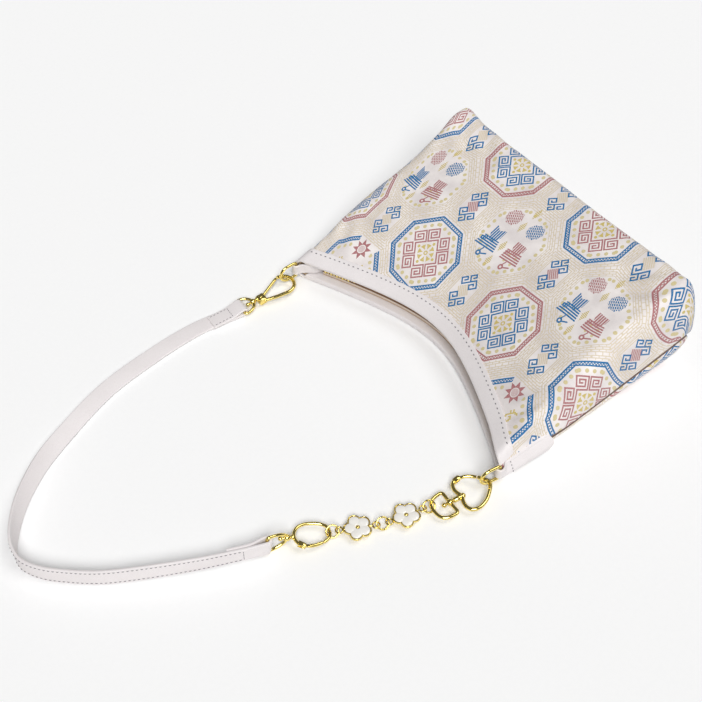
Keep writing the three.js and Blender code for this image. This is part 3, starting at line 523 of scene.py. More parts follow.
def round_steps(count, power):
    """Places from the flat (0) to the seam (1) of a rounded edge, with the height left at each."""
    a = (1 - (1 - np.arange(1, count + 1) / count) ** 1.4) * np.pi / 2
    r = (np.abs(np.cos(a)) ** power + np.sin(a) ** power) ** (-1 / power)
    rise = r * np.cos(a)
    rise[..., -1] = 0
    return r * np.sin(a), rise


def panel(flat_cols, turn, powers, flat_rows, base, side_round, base_round):
    """Plan places and rise of a panel's grid: flat middle, rounded base and two rounded sides, each with
    a power at the mouth and one from a third of the way down."""
    v = np.concatenate([np.linspace(0, 1, flat_rows + 1) ** 1.15, np.ones(len(base[0]))])[:, None]
    row_out = np.concatenate([np.zeros(flat_rows + 1), base[0]])[:, None]
    row_rise = np.concatenate([np.ones(flat_rows + 1), base[1]])[:, None]
    reach = side_round(v)
    flat = np.linspace(0, 1, flat_cols + 1)
    halves = []
    for power in powers:
        out, rise = round_steps(turn, lerp(*power, ease(v / 0.35)))
        halves.append((np.hstack([(HALF_WIDTH - reach) * flat, HALF_WIDTH - reach + reach * out]),
                       np.hstack([np.ones((len(v), flat_cols + 1)), rise])))
    (right, right_rise), (left, left_rise) = halves
    x = np.hstack([-right[:, :0:-1], left])
    rise = np.hstack([right_rise[:, :0:-1], left_rise])
    y = lerp(mouth_y(x), BASE_Y + base_round * (1 - row_out), v)
    return x, y, rise * row_rise


def grid_normal(grid):
    """Unit normals of a grid of points from its neighbours, all on the side that is up on the whole."""
    n = unit(np.cross(np.gradient(grid, axis=1), np.gradient(grid, axis=0)) + 1e-9)
    return n * np.sign(n[..., 2].mean())


def inner_skin(grid, sign):
    """The grid one wall further in, with its edges stepped straight inward at the seam height."""
    inner = grid - sign * WALL * grid_normal(grid)
    limit = seam_z(inner[..., 1]) + sign * SEAM_GAP / 2
    inner[..., 2] = np.maximum(inner[..., 2], limit) if sign > 0 else np.minimum(inner[..., 2], limit)
    top = grid[:1, :, 1]
    edge = np.zeros(grid.shape[:2], bool)
    edge[:, 0] = edge[:, -1] = edge[-1] = True
    x = grid[..., 0] * (1 - WALL / HALF_WIDTH)
    y = grid[..., 1] + WALL * (top - grid[..., 1]) / (top - BASE_Y)
    seam = np.stack([x, y, seam_z(y) + sign * SEAM_GAP / 2], -1)
    return np.where(edge[..., None], seam, inner)


def creases(x, y):
    """Shallow waves of the slack cloth: fans of ripples from the mouth's ends and slack at the base."""
    z = 0.0 * x
    for cx, cy, turn, pitch, depth, reach in CREASES:
        run = (x - cx) * math.cos(turn) + (y - cy) * math.sin(turn)
        fade = np.exp(-((x - cx) ** 2 + (y - cy) ** 2) / reach ** 2)
        z = z + depth * np.cos(2 * np.pi * run / pitch) * fade
    return z


def seam_off(grid, sign):
    """Height of a panel's points from the seam."""
    return np.abs(grid[..., 2] - seam_z(grid[..., 1]) - sign * SEAM_GAP / 2)


def tuck(grid, sign):
    """How far the cloth is drawn in along the side and base seam, falling off with height from it."""
    x, y = grid[..., 0], grid[..., 1]
    off = seam_off(grid, sign)
    pull = 1.6 * np.exp(-off / 3) + 2.6 * np.exp(-off)
    inset_x = pull * ramp(mouth_y(x) - y, 20, 20) * ramp(np.abs(x), 108, 18)
    inset_y = pull * ramp(-y, 72, 16)
    return np.stack([-np.sign(x) * inset_x, inset_y, 0 * x], -1)


def painted_seam_shade(grid, sign):
    """Painted seam shade: how near a panel's points are to the seam, a bell of the height from it, wider
    on the back; the cloth is darkened by it as the shadow in the seam's groove.
    """
    width = 0.6 if sign > 0 else 1.3
    return 0.4 * np.exp(-(seam_off(grid, sign) / width) ** 2)


def leaned(points):
    """Leans the near end of the mouth in over its tab: a shift that grows with height above the seam."""
    x, y, z = points[..., 0], points[..., 1], points[..., 2]
    inward = END_LEAN * ramp(z, 9, 11) * ramp(y, 38, 24) * ramp(-x, 94, 32)
    return np.stack([x + inward, y, z], -1)


def along_rows(x, z):
    """Arc length across the cloth along each row of a grid, counted from its middle column."""
    mid = x.shape[1] // 2
    step = np.hypot(np.diff(x, axis=1), np.diff(z, axis=1))
    run = np.concatenate([np.zeros((len(x), 1)), np.cumsum(step, axis=1)], 1)
    return run - run[:, mid:mid + 1]


def front_fall(y):
    """Arc length down the front's middle line from the bird row, run on above the mouth."""
    line_y = np.linspace(130, -74, 409)
    above = np.maximum(line_y - MOUTH_MID_Y, 0)
    line_z = front_crown(0 * line_y, np.minimum(line_y, MOUTH_MID_Y)) - 0.5 * above
    fall = run_along(np.stack([line_y, line_z], -1))
    fall -= np.interp(-BIRD_ROW_Y, -line_y, fall)
    return np.interp(-y, -line_y, fall)


def front_place(across, down, y):
    """Places on the flat cloth from arc lengths: drawn together over both sides, by the square of the
    length past each, sagging toward them, and pushed along at the near corner of the mouth."""
    out = np.abs(across)
    corner = ramp(-across, 98, 32) * ramp(y, 20, 45) * (1 - 0.3 * ramp(y, 60, 30))
    drawn = 0.0048 * np.maximum(out - 96, 0) ** 2 * (1 - 0.5 * ramp(y, 15, 45) * (across < 0))
    sag = 4.5 * ramp(out, 60, 45) * ramp(y, -80, 30)
    near_side = 0.0046 * np.maximum(-across - 100, 0) ** 2
    far_side = 0.0088 * np.maximum(across - 92, 0) ** 2
    return np.stack([across + near_side + far_side + 3.5 * corner, down + sag - drawn + corner], -1)


def front_cloth():
    """Front, side and base cloth in one: the bag's front surface with creases, as a 2 mm wall. The far
    side is fuller than the near one, and the base is let out a little toward it."""
    base = round_steps(24, BASE_POWER)
    powers = (SIDE_POWER, SIDE_POWER), (SIDE_POWER, FAR_POWER)
    x, y, rise = panel(44, 30, powers, 84, base, shoulder, BASE_ROUND)
    z = front_z(x, y, rise) + creases(x, y) * rise * ramp(mouth_y(x) - y, 12, 14)
    full_x = x + np.interp(y, FULL_AT, FULL_OUT) * ramp(x, 85, 40) * ease(rise / 0.45)
    full_y = y + 3 * ramp(x, 10, 90) * ramp(-y, 45, 40)
    plain = np.stack([full_x, full_y, z], -1)
    drawn_in = tuck(plain, 1)
    grid = leaned(plain + drawn_in)
    mid = x.shape[1] // 2
    down = front_fall(y)
    turn = slice(-len(base[0]) - 1, None)
    down[turn] = down[turn][0, mid] + run_along(grid[turn, mid])[:, None]
    place = front_place(along_rows(full_x, z), down, y)
    return shell(grid, leaned(inner_skin(plain, 1) + drawn_in), place, painted_seam_shade(plain, 1))


def back_cloth():
    """Flat back cloth with rounded edges, a 2 mm wall like the front."""
    base = round_steps(12, BACK_POWER)
    x, y, rise = panel(30, 12, [(BACK_POWER, BACK_POWER)] * 2, 40, base, back_round, BACK_ROUND)
    plain = np.stack([x, y, back_z(x, y, rise)], -1)
    drawn_in = tuck(plain, -1)
    grid = leaned(plain + drawn_in)
    across = along_rows(x, grid[..., 2])
    fall = run_along(grid[:, x.shape[1] // 2])[:, None]
    place = np.stack([across + BACK_ACROSS, 0 * across + fall + BACK_DOWN], -1)
    return shell(grid, leaned(inner_skin(plain, -1) + drawn_in), place, painted_seam_shade(plain, -1))


# Leather facings and zip

def mouth_point(surface, sign, x, s, h):
    """A point s inward from the mouth edge at x and h off the outside of a panel."""
    slope = (mouth_y(x + 0.1) - mouth_y(x - 0.1)) / 0.2
    y = mouth_y(x) - s * np.hypot(1, slope)
    x = x + 0 * y
    base = np.stack([x, y, surface(x, y)], -1)
    return leaned(base + slope_normal(surface, x, y, 0.2) * (sign * np.asarray(h))[..., None])


def front_lip(x, s, h=0.0):
    """A point s inward from the front's mouth edge at x and h off its outside."""
    return mouth_point(front_surface, 1, x, s, h)


def rim_leather(surface, sign):
    """Folded facing over a mouth edge: a U shaped section with soft corners carried along the mouth,
    cut down to its upper face at the two ends."""
    top, under = RIM_CLEAR + RIM_SKIN, -WALL - RIM_CLEAR
    deep, fold = under - RIM_SKIN, RIM_BEND + RIM_SKIN
    face = [(RIM_OUTER, RIM_CLEAR), (RIM_OUTER, top), (RIM_OUTER / 2, top + 0.15), (-1, top),
            (-fold, top - RIM_BEND)]
    whole = [(-fold, deep + RIM_BEND), (-1, deep), (RIM_INNER / 2, deep), (RIM_INNER, deep),
             (RIM_INNER, under), (-RIM_BEND, under), (-RIM_BEND, RIM_CLEAR)]
    cut = [(-fold, 0.4), (-1.6, -0.5), (-1.3, -0.6), (-1.1, -0.6), (-0.9, -0.5), (-0.8, -0.2),
           (-RIM_BEND, RIM_CLEAR)]
    x = RIM_TIP * np.sin(np.linspace(-np.pi / 2, np.pi / 2, 190))[:, None]
    open_end = ramp(np.abs(x) - RIM_END, -2.5, 2.2)[..., None]
    section = lerp(fillet(face + whole, 0.6), fillet(face + cut, 0.3), open_end)
    return loft(mouth_point(surface, sign, x, section[..., 0], section[..., 1]))


def rim_stitches():
    """One row of thread along the front's facing, near its cloth edge."""
    inset, high = RIM_OUTER - RIM_STITCH_IN, RIM_CLEAR + RIM_SKIN + 0.05
    fine = np.linspace(-RIM_TIP + 3.5, RIM_TIP - 3.5, 800)
    run = run_along(front_lip(fine, inset, high))
    x = np.interp(np.arange(2, run[-1] - 1, RIM_STITCH_PITCH), run, fine)
    before, spots, after = [front_lip(x + step, inset, high) for step in (-0.4, 0, 0.4)]
    up = unit(front_lip(x, inset, high + 1) - spots)
    return stitches(spots, unit(after - before), up, length=1.7, width=0.8)


def zip_height(x, share):
    """Height between the two facings behind the mouth edge."""
    roof = front_lip(x, ZIP_INSET, -WALL - GAP - RIM_SKIN)[..., 2]
    return lerp(BACK_LIFT + WALL + GAP + RIM_SKIN, roof, share)


def zip_curtain():
    """Woven tape that closes the mouth behind the teeth; its cloth place is the share of its height."""
    x = np.linspace(-ZIP_END, ZIP_END, 120)
    t = np.linspace(0, 1, 17)
    low, high = zip_height(x, 0)[:, None] + 0.4, zip_height(x, 1)[:, None] - 0.6
    faces = []
    for inset in (2.2, 3):
        face = front_lip(x, ZIP_INSET + inset)[:, None] + 0 * t[:, None]
        face[..., 2] = lerp(low, high, t)
        faces.append(face)
    share = np.concatenate([t, t[::-1]]) + 0 * x[:, None]
    rings = np.concatenate([faces[0], faces[1][:, ::-1]], 1)
    return loft(rings, cloth=np.stack([share, 0 * share, 0 * share], -1))


def zip_teeth():
    """Meshed metal teeth: small blocks with eased edges, set low and high in turn."""
    x = np.arange(-ZIP_END + 2.5, ZIP_END - 2, TOOTH_PITCH)
    spots = front_lip(x, ZIP_INSET)
    inward = unit(front_lip(x, ZIP_INSET + 1.8) - spots)
    inward[:, 2] = 0
    turns = np.where(np.arange(len(x)) % 2, 0.5, -0.5)
    spots[:, 2] = zip_height(x, lerp(0.84, 0.5, ramp(x, 70, 25))) + turns
    outline = fillet([(0, -1.7), (1.7, -1.7), (1.7, 1.7), (0, 1.7)], 0.5, 2)
    return [slab(Plane(at, way, (0, 0, 1)), outline, -0.95, 0.95) for at, way in zip(spots, inward)]


def zip_slider():
    """Slider body: a waisted block in front of the teeth at the shut end."""
    x = np.linspace(-ZIP_END + 6, -ZIP_END + 16, 14)
    t = np.linspace(-1, 1, 14)
    half = 3.0 * (1 - 0.22 * (1 - t ** 2)) * np.where(np.abs(t) > 0.99, 0.8, 1)
    section = fillet([(0, -1), (0, 1), (1, 1), (1, -1)], 0.3, 3)
    near, far = front_lip(x, ZIP_INSET - 2.3)[:, None], front_lip(x, ZIP_INSET - 0.4)[:, None]
    rings = lerp(near, far, section[None, :, :1])
    rings[..., 2] = zip_height(x, 0.6)[:, None] + half[:, None] * section[:, 1]
    return loft(rings)


# Side tabs and D rings

def tab_stations(side):
    """Plan place, mid height and half height along a tab, from its round tip round the ring."""
    centre, long = TAB_OUT - TAB_LOOP, RING_Y - TAB_TIP_Y
    d = np.concatenate([TAB_HALF * (1 - np.cos(np.linspace(0.2, np.pi / 2, 12))),
                        np.linspace(8, long - 1, 24)])
    t = clamp01(d / long)
    half = lerp(TAB_HALF, TAB_LOOP_HALF, ease(t * 1.2 - 0.2))
    half = half * np.where(d < TAB_HALF, np.sqrt(np.maximum(1 - (1 - d / TAB_HALF) ** 2, 0)), 1)
    tip_z = TAB_TIP_Z - 2.6 * (side < 0)
    leg = np.stack([TAB_OUT + 0 * d, TAB_TIP_Y + d, lerp(tip_z, TAB_MID_Z, ease(t)), half], -1)
    a = np.linspace(0, np.pi, 21)
    loop = np.stack([centre + TAB_LOOP * np.cos(a), RING_Y + TAB_LOOP * np.sin(a),
                     TAB_MID_Z + 0 * a, TAB_LOOP_HALF + 0 * a], -1)
    inside = spaced(TAB_TAIL, 20)
    t = ramp(-inside[:, 1], 1, 10)
    tail = np.stack([centre - TAB_LOOP + inside[:, 0], RING_Y + inside[:, 1],
                     lerp(TAB_MID_Z, TAB_TAIL_Z, t), lerp(TAB_LOOP_HALF, TAB_TAIL_HALF, t)], -1)
    rows = np.concatenate([leg, loop, tail])
    rows[:, 0] *= side
    return rows


def tab_section():
    """Section of a tab as (share of its half height, through): two faces and rounded edges."""
    flat, count = 0.86, 33
    edge = np.linspace(0, np.pi, 7)[1:-1]
    face = np.linspace(-flat, flat, count)
    turn = flat + (1 - flat) * np.sin(edge)
    a = np.concatenate([face, turn, face[::-1], -turn])
    b = np.concatenate([-np.ones(count), -np.cos(edge), np.ones(count), np.cos(edge)])
    return np.stack([a, b * TAB_SKIN / 2], -1)


def tab_lean(z):
    """How far the near tab leans in with its end of the mouth, growing with height."""
    return (END_LEAN + 0.8) * ramp(z, 6, 12)


def side_tab(side):
    """Leather tab standing on edge: a strip carried along its plan path and height band, its outer
    face padded and sunk in along a line near its edge."""
    rows = tab_stations(side)
    along = tangents(rows[:, :2])
    section = tab_section()
    across = section[:, 0]
    outward = -side * np.sign(along[:, 1:])
    outer_leg = np.abs(rows[:, :1]) > TAB_OUT - 0.01
    tip = np.minimum(rows[:, 3:] / TAB_HALF, 1)
    line = np.exp(-((np.abs(across) - 0.72) / 0.05) ** 2) * tip
    swell = TAB_PUFF * tip * (1 - across ** 2) ** 0.6 - 0.5 * line
    swell = swell * (section[:, 1] * outward > 0) * outer_leg * ease((RING_Y - 2 - rows[:, 1:2]) / 10)
    thin = section[:, 1] + swell * outward
    x = rows[:, None, 0] - along[:, 1:] * thin
    y = rows[:, None, 1] + along[:, :1] * thin
    z = rows[:, None, 2] + rows[:, None, 3] * across
    if side < 0:
        x = x + tab_lean(z) * (1 - ramp(y, 95, 6)) * outer_leg
    return loft(np.stack([x, y, z], -1))


def tab_stitches(side):
    """A row of thread across the tab's outer face, where the loop round the ring is sewn shut."""
    z = np.arange(-3.6, 3.7, 2.4) + RING_Z + 0.7
    out = TAB_OUT + TAB_SKIN / 2 + 0.65 - tab_lean(z) * (side < 0)
    spots = np.stack([side * out, RING_Y - 10 + 0 * z, z], -1)
    along, up = np.tile([0.0, 0, 1], (len(z), 1)), np.tile([float(side), 0, 0], (len(z), 1))
    return stitches(spots, along, up, length=1.6, width=0.6)


def d_ring(side, yaw):
    """D ring: straight bar through the tab and a round bow, one round wire."""
    turn = math.radians(yaw)
    way = (math.sin(turn) * side, math.cos(turn), 0)
    plane = Plane((side * (TAB_OUT - TAB_LOOP), RING_Y, RING_Z), way, (0, 0, 1))
    bend = RING_REACH - RING_HALF
    path = [(0, -5.4), (0, -2), (0, 2), (0, 5.4), (0.6, 6.7), (2, RING_HALF), (bend, RING_HALF)]
    a = np.pi / 2 - np.pi * np.arange(1, 16) / 16
    path += list(zip(bend + RING_HALF * np.cos(a), RING_HALF * np.sin(a)))
    path += [(bend, -RING_HALF), (2, -RING_HALF), (0.6, -6.7)]
    return wire(plane, spaced(path, 84, True), RING_WIRE, 16, True)


# Clasps

SNAP_AT, HEART_AT, OVAL_AT = (123.2, 150.2, 4.75), (-124.9, 145.7, 4.6), (-79.9, 256.9, 6.6)
snap_plane = level(SNAP_AT, 0, -1, 0.056)
snap_eye_plane = level(SNAP_AT, -0.06, -0.998, 0.05)
heart_eye_plane = level(HEART_AT, -0.058, -0.998, 0.056)
heart_plane = level(HEART_AT, -0.145, -0.989, 0.074)
oval_plane = level(OVAL_AT, -0.421, -0.908, -0.09)
oval_eye_plane = Plane(OVAL_AT, (-0.15, -0.98, -0.14), (0, 0, 1))


def boss(post):
    """Round boss with a hole for the swivel post: a circle segment turned round the post."""
    hole = POST + GAP + 0.05
    ends = math.sqrt(BOSS ** 2 - hole ** 2)
    p = np.linspace(-ends, ends, 15)
    outside = np.stack([p, np.sqrt(BOSS ** 2 - p ** 2)], -1)
    prof = np.concatenate([outside, [(ends, hole), (-ends, hole)]])
    return turned(post, prof, sides=28, closed=True)


def swivel_post(plane, reach):
    """Ball head, thin post and collar in one turned profile."""
    a = np.linspace(np.pi, 0.5, 12)
    head = np.stack([-BOSS - BALL - 0.4 + BALL * np.cos(a), BALL * np.sin(a) + 0.001], -1)
    rest = [(-2.9, POST), (BOSS + 0.4, POST), (BOSS + 0.4, 1.6), (BOSS + 0.8, 2), (reach - 0.3, 2),
            (reach, 1.7)]
    return turned(plane, np.concatenate([head, rest]), sides=22)


def swivel_eye(plane, back, post):
    """Strap eye: straight bar, round bow and a boss where the bow meets the post."""
    long = back - 2
    a = np.linspace(np.pi / 2, 0, 14)[1:]
    bow = np.stack([-long + long * np.cos(a), EYE_HALF * np.sin(a)], -1)
    bow = bow[bow[:, 1] > 1.9]
    bar = [(-back, 0), (-back, 3.4), (-back, 6.6), (-back + 0.5, 7.8), (-back + 2, EYE_HALF)]
    half = np.concatenate([bar, bow])
    path = np.concatenate([(half * [1, -1])[:0:-1], half])
    return [wire(plane, spaced(path, 90), EYE_WIRE, 16), boss(post)]


def heart_eye(plane, post):
    """Chain eye of the heart clasp: a squared bow on a straight bar with the boss in its middle."""
    wide, long, power = 10.2, 13.6, 2.8
    a = np.pi / 2 - np.pi * np.arange(25) / 24
    r = (np.abs(np.cos(a)) ** power + np.abs(np.sin(a)) ** power) ** (-1 / power)
    bow = np.stack([-1.2 - (long - 1.2) * r * np.cos(a), wide * r * np.sin(a)], -1)
    path = np.concatenate([[(0, 1.9), (0, 4), (0, 9)], bow, [(0, -9), (0, -4), (0, -1.9)]])
    return [wire(plane, spaced(path, 110), HEART_EYE_WIRE, 16), boss(post)]


def gate_line(hinge, end):
    """Unit direction of a gate from its hinge to its end."""
    d = np.asarray(end, float) - np.asarray(hinge, float)
    return d / np.linalg.norm(d)


def clear_of_gate(path, hinge, end, r0, r1):
    """Keeps the points of a path outside the gate's band between two reaches from the hinge."""
    along = gate_line(hinge, end)
    off = np.asarray(path) - np.asarray(hinge)
    reach, aside = off @ along, np.abs(off[:, 1] * along[0] - off[:, 0] * along[1])
    return np.asarray(path)[~((reach > r0) & (reach < r1) & (aside < GATE_CLEAR))]


def snap_hook(plane):
    """Hook wire from the hinge block round to the gate's tip, block cheeks, pin and its button."""
    a = np.radians(np.linspace(-100, 92, 60))
    bow = np.stack([30 + 9.6 * np.cos(a), -0.3 + 9.6 * np.sin(a)], -1)[2:]
    shank = spaced([(8.2, -4.9), (18, -7.7), (26.8, -9.4), tuple(bow[0])], 24)[:-1]
    path = clear_of_gate(np.concatenate([shank, bow]), SNAP_HINGE, SNAP_TIP, SNAP_REACH - 6,
                         SNAP_REACH + GATE_GAP)
    cheek = fillet([(4, -5.9), (10.6, -5.9), (10.6, 1.5), (4, 1.5)], 1.2, 4)
    web = fillet([(4, -5.8), (8.4, -5.8), (7.0, -3.95), (4.62, -3.6), (4.62, 1.4), (4, 1.4)], 0.2, 2)
    return [swivel_post(plane, 5), wire(plane, path, HOOK_WIRE, 18),
            slab(plane, cheek, 1.62, 2.7), slab(plane, cheek, -2.7, -1.62),
            loft(np.stack([plane.at(web[:, 0], web[:, 1], h) for h in (-1.9, 1.9)])),
            turned(plane, [(-2.6, 0.65), (2.6, 0.65)], SNAP_HINGE, "N", 14),
            turned(plane, [(2.5, 1.7), (3.0, 1.7), (3.25, 1.4), (3.3, 0.6)], SNAP_HINGE, "N", 20)]


def snap_gate(plane):
    """Straight gate bar with an eye round the hinge pin."""
    along = gate_line(SNAP_HINGE, SNAP_TIP)
    path = np.asarray(SNAP_HINGE) + np.linspace(1.6, SNAP_REACH, 12)[:, None] * along
    return [wire(plane, path, SNAP_GATE_WIRE, 16), washer(plane, SNAP_HINGE, 1.02, 2.1, -1.25, 1.25)]


def framed(centre, along, pairs):
    """Plane points given as (along, aside) pairs from a centre."""
    aside = np.array([-along[1], along[0]])
    return [np.asarray(centre) + along * a + aside * b for a, b in pairs]


def hinge_cheeks(plane, hinge, back):
    """Two cheek plates, the solid behind the slot and the pin of a curved gate's hinge."""
    b = np.asarray(back, float) / np.linalg.norm(back)
    a = math.atan2(b[1], b[0]) + math.pi / 2 + np.linspace(0, np.pi, 13)
    tip = np.stack([hinge[0] + 1.8 * np.cos(a), hinge[1] + 1.8 * np.sin(a)], -1)
    outline = np.concatenate([tip, [tip[-1] + b * 4.2, tip[0] + b * 4.2]])
    core = framed(hinge, b, [(2.5, -1.65), (4.1, -1.65), (4.1, 1.65), (2.5, 1.65)])
    return [slab(plane, outline, 0.95, 1.75), slab(plane, outline, -1.75, -0.95),
            slab(plane, core, -1.3, 1.3, 0.1),
            turned(plane, [(-1.7, 0.53), (1.7, 0.53)], hinge, "N", 12)]


def curved_gate(plane, hinge, path, reach):
    """Bowed gate bar with a flat tongue and an eye round the pin, cut square at its free end."""
    body = spaced(path, 42)[11:]
    body = body[(body - np.asarray(hinge)) @ gate_line(hinge, path[3]) < reach]
    tongue = framed(hinge, gate_line(hinge, path[1]), [(1.3, -1.1), (4.6, -1.1), (4.6, 1.1), (1.3, 1.1)])
    return [wire(plane, body, GATE_WIRE, 16), slab(plane, tongue, -0.65, 0.65, 0.15),
            washer(plane, hinge, 0.88, 1.8, -0.65, 0.65)]


def off_hinge(path, hinge):
    """The points of a path that are clear of a hinge's eye."""
    return path[np.linalg.norm(path - np.asarray(hinge), axis=1) > HINGE_CLEAR]


def oval_hook(plane):
    """Oval ring of wire, open where the gate closes it, on a swivel post."""
    path = clear_of_gate(spaced(OVAL_LINE, 110), OVAL_HINGE, OVAL_GATE[3], 5.2, OVAL_REACH + GATE_GAP)
    return [swivel_post(plane, 5), wire(plane, off_hinge(path, OVAL_HINGE), OVAL_WIRE, 16),
            *hinge_cheeks(plane, OVAL_HINGE, (-3, 1.9))]


def heart_hook(plane):
    """Heart of wire in two runs from its cleft, open at the gate, with a bead in the cleft."""
    short = off_hinge(spaced(HEART_SHORT, 40), HEART_HINGE)
    long = clear_of_gate(spaced(HEART_LONG, 110), HEART_HINGE, HEART_GATE[3], 5, HEART_REACH + GATE_GAP)
    a = np.linspace(0.02, np.pi - 0.02, 14)
    bead = np.stack([11 - 2.1 * np.cos(a), 2.1 * np.sin(a)], -1)
    return [swivel_post(plane, 11), turned(plane, bead), wire(plane, short, HOOK_WIRE, 18),
            wire(plane, long, HOOK_WIRE, 18), *hinge_cheeks(plane, HEART_HINGE, (-4, -0.9))]


# Charm chain

def stepped(a, d, length):
    """The plan point a length from a along d."""
    return np.asarray(a, float) + np.asarray(d) * length


REACH_IN = LINK_RADIUS + 0.4
link_3 = stepped(CHAIN_START, CHAIN_DIR[0], LINK_RADIUS - 2.95)
flower_2 = stepped(stepped(link_3, CHAIN_DIR[0], REACH_IN), CHAIN_DIR[1], FLOWER_LOOP)
link_2 = stepped(stepped(flower_2, CHAIN_DIR[1], FLOWER_LOOP), CHAIN_DIR[2], REACH_IN)
flower_1 = stepped(stepped(link_2, CHAIN_DIR[2], REACH_IN), CHAIN_DIR[3], FLOWER_LOOP)
link_1 = stepped(stepped(flower_1, CHAIN_DIR[3], FLOWER_LOOP), CHAIN_DIR[4], REACH_IN)


def jump_ring(at, way):
    """A tilted ring of thin wire."""
    lean = math.radians(LINK_TILT)
    across = -np.array([-way[1] * math.cos(lean), way[0] * math.cos(lean), -math.sin(lean)])
    plane = Plane((at[0], at[1], CHAIN_Z), (way[0], way[1], 0), across)
    t = circle(40)
    ring = np.stack([LINK_RADIUS * np.cos(t), LINK_RADIUS * np.sin(t)], -1)
    return wire(plane, ring, LINK_WIRE, 12, True)


def petals():
    """Angles, closeness to a petal's middle and radius round the five petal outline."""
    t = circle(120, 0.5)
    lobe = np.abs(np.cos(2.5 * t))
    return t, lobe, FLOWER_RADIUS * (0.74 + 0.26 * lobe ** 0.8)


def flower_setting(plane):
    """Gilt blossom: a petal plate with a raised rim, a round stud and a loop on either side."""
    t, _, edge = petals()
    share, inset, high = np.array(PETAL_PLATE).T[..., None]
    r = share * (edge - inset)
    a = np.linspace(0, np.pi / 2, 7)
    dome = np.stack([0.55 + 0.85 * np.sin(a), 1.3 * np.cos(a) + 0.001], -1)
    stud = np.concatenate([[(0.0, 1.3)], dome])
    parts = [loft(plane.at(r * np.cos(t), r * np.sin(t), high)), turned(plane, stud, axis="N")]
    t = circle(28)
    for s in (-1, 1):
        x = s * FLOWER_LOOP + FLOWER_LOOP_RADIUS * np.cos(t)
        loop = np.stack([x, FLOWER_LOOP_RADIUS * np.sin(t)], -1)
        arm = [(s * 7.2, 0.6), (s * (FLOWER_LOOP - 2.4), 0.6)]
        parts += [wire(plane, loop, 0.6, 12, True), turned(plane, arm, sides=12)]
    return parts


def flower_enamel(plane):
    """Glossy enamel of the petals: domed along each petal, sunk between them, open round the stud."""
    t, lobe, edge = petals()
    share, swell, flat = np.array(ENAMEL_RINGS).T[..., None]
    r = lerp(1.62, edge - FLOWER_RIM - 0.35, share)
    return loft(plane.at(r * np.cos(t), r * np.sin(t), lerp(flat, swell, lobe ** 0.6)), True)


# Strap

def fold_points():
    """Distance from the eye bar and height over the main layer along a folded strap end."""
    a = np.array([STRAP_FOLD, 24, 20, 16, 13, 11.5, 10, 8.5, 7.5, 6, 5, 3.5, 2.5, 1.2])
    lie = np.stack([a, lerp(2 * STRAP_WRAP, STRAP_SKIN + GAP, ease(a / 13))], -1)
    t = np.pi / 2 - np.pi * np.arange(17) / 16
    turn = np.stack([-STRAP_WRAP * np.cos(t), STRAP_WRAP + STRAP_WRAP * np.sin(t)], -1)
    return np.concatenate([lie, turn])


def strap_stations():
    """Centres and width directions along the strap, from one folded end to the other. The first fold
    lies on the strap along its eye, the last one behind it along the strap's own line."""
    fold = fold_points()
    first = snap_eye_plane.at(-SNAP_EYE_BACK, 0, -STRAP_WRAP)
    start = first - fold[:, :1] * snap_eye_plane.P + fold[:, 1:] * snap_eye_plane.N
    t = np.linspace(0, 1, 190)
    at = spline(STRAP_EDGE, t)
    way = spline(STRAP_EDGE, np.minimum(t + 1e-4, 1)) - spline(STRAP_EDGE, np.maximum(t - 1e-4, 0))
    way = unit(way[:, :2])
    lean = np.radians(at[:, 2])
    width = np.stack([way[:, 1] * np.cos(lean), -way[:, 0] * np.cos(lean), np.sin(lean)], -1)
    bar = oval_eye_plane.at(-OVAL_EYE_BACK)
    lift = GAP + STRAP_SKIN / 2 * np.abs(np.cos(lean))
    lift = lift + (bar[2] - STRAP_WIDTH / 2 - GAP) * ramp(t, 0.8, 0.2)
    run = np.stack([at[:, 0], at[:, 1], lift], -1) + width * STRAP_WIDTH / 2
    back = unit((run[-1] - bar) * [1, 1, 0] + [STRAP_WRAP, 0, 0])
    side = np.array([back[1], -back[0], 0])
    last = bar - side * STRAP_WRAP
    line = np.concatenate([[last - back * 20, last], run[::-1]])
    away = fold[::-1, 0]
    stop = at_lengths(line, run_along(line) - 20, away) + fold[::-1, 1:] * side
    up = np.array([0, 0, np.sign(oval_eye_plane.Q[2])])
    upright = lerp(oval_eye_plane.Q, up, ramp(away, 5, 12)[:, None])
    centres = np.concatenate([start, run, stop])
    widths = np.concatenate([np.tile(snap_eye_plane.Q, (len(fold), 1)), width, unit(upright)])
    return centres, widths, len(fold)


def strap_frames():
    """The strap's stations with the direction through it, and the count of stations in a fold."""
    centres, widths, fold = strap_stations()
    normals = unit(np.cross(widths, tangents(centres)))
    return centres, widths, normals, fold


def strap_section():
    """Section of the strap, a rounded rectangle, as (across, through) pairs."""
    w, h = STRAP_WIDTH / 2, STRAP_SKIN / 2
    return fillet([(-w, -h), (0, -h), (w, -h), (w, h), (0, h), (-w, h)], STRAP_ROUND, 4)


def strap_leather():
    """Flat leather strap: a rounded strip carried along its route, folded round an eye at either end."""
    centres, widths, normals, _ = strap_frames()
    section = strap_section()
    wide, thick = section[None, :, :1], section[None, :, 1:]
    return loft(centres[:, None] + widths[:, None] * wide + normals[:, None] * thick)


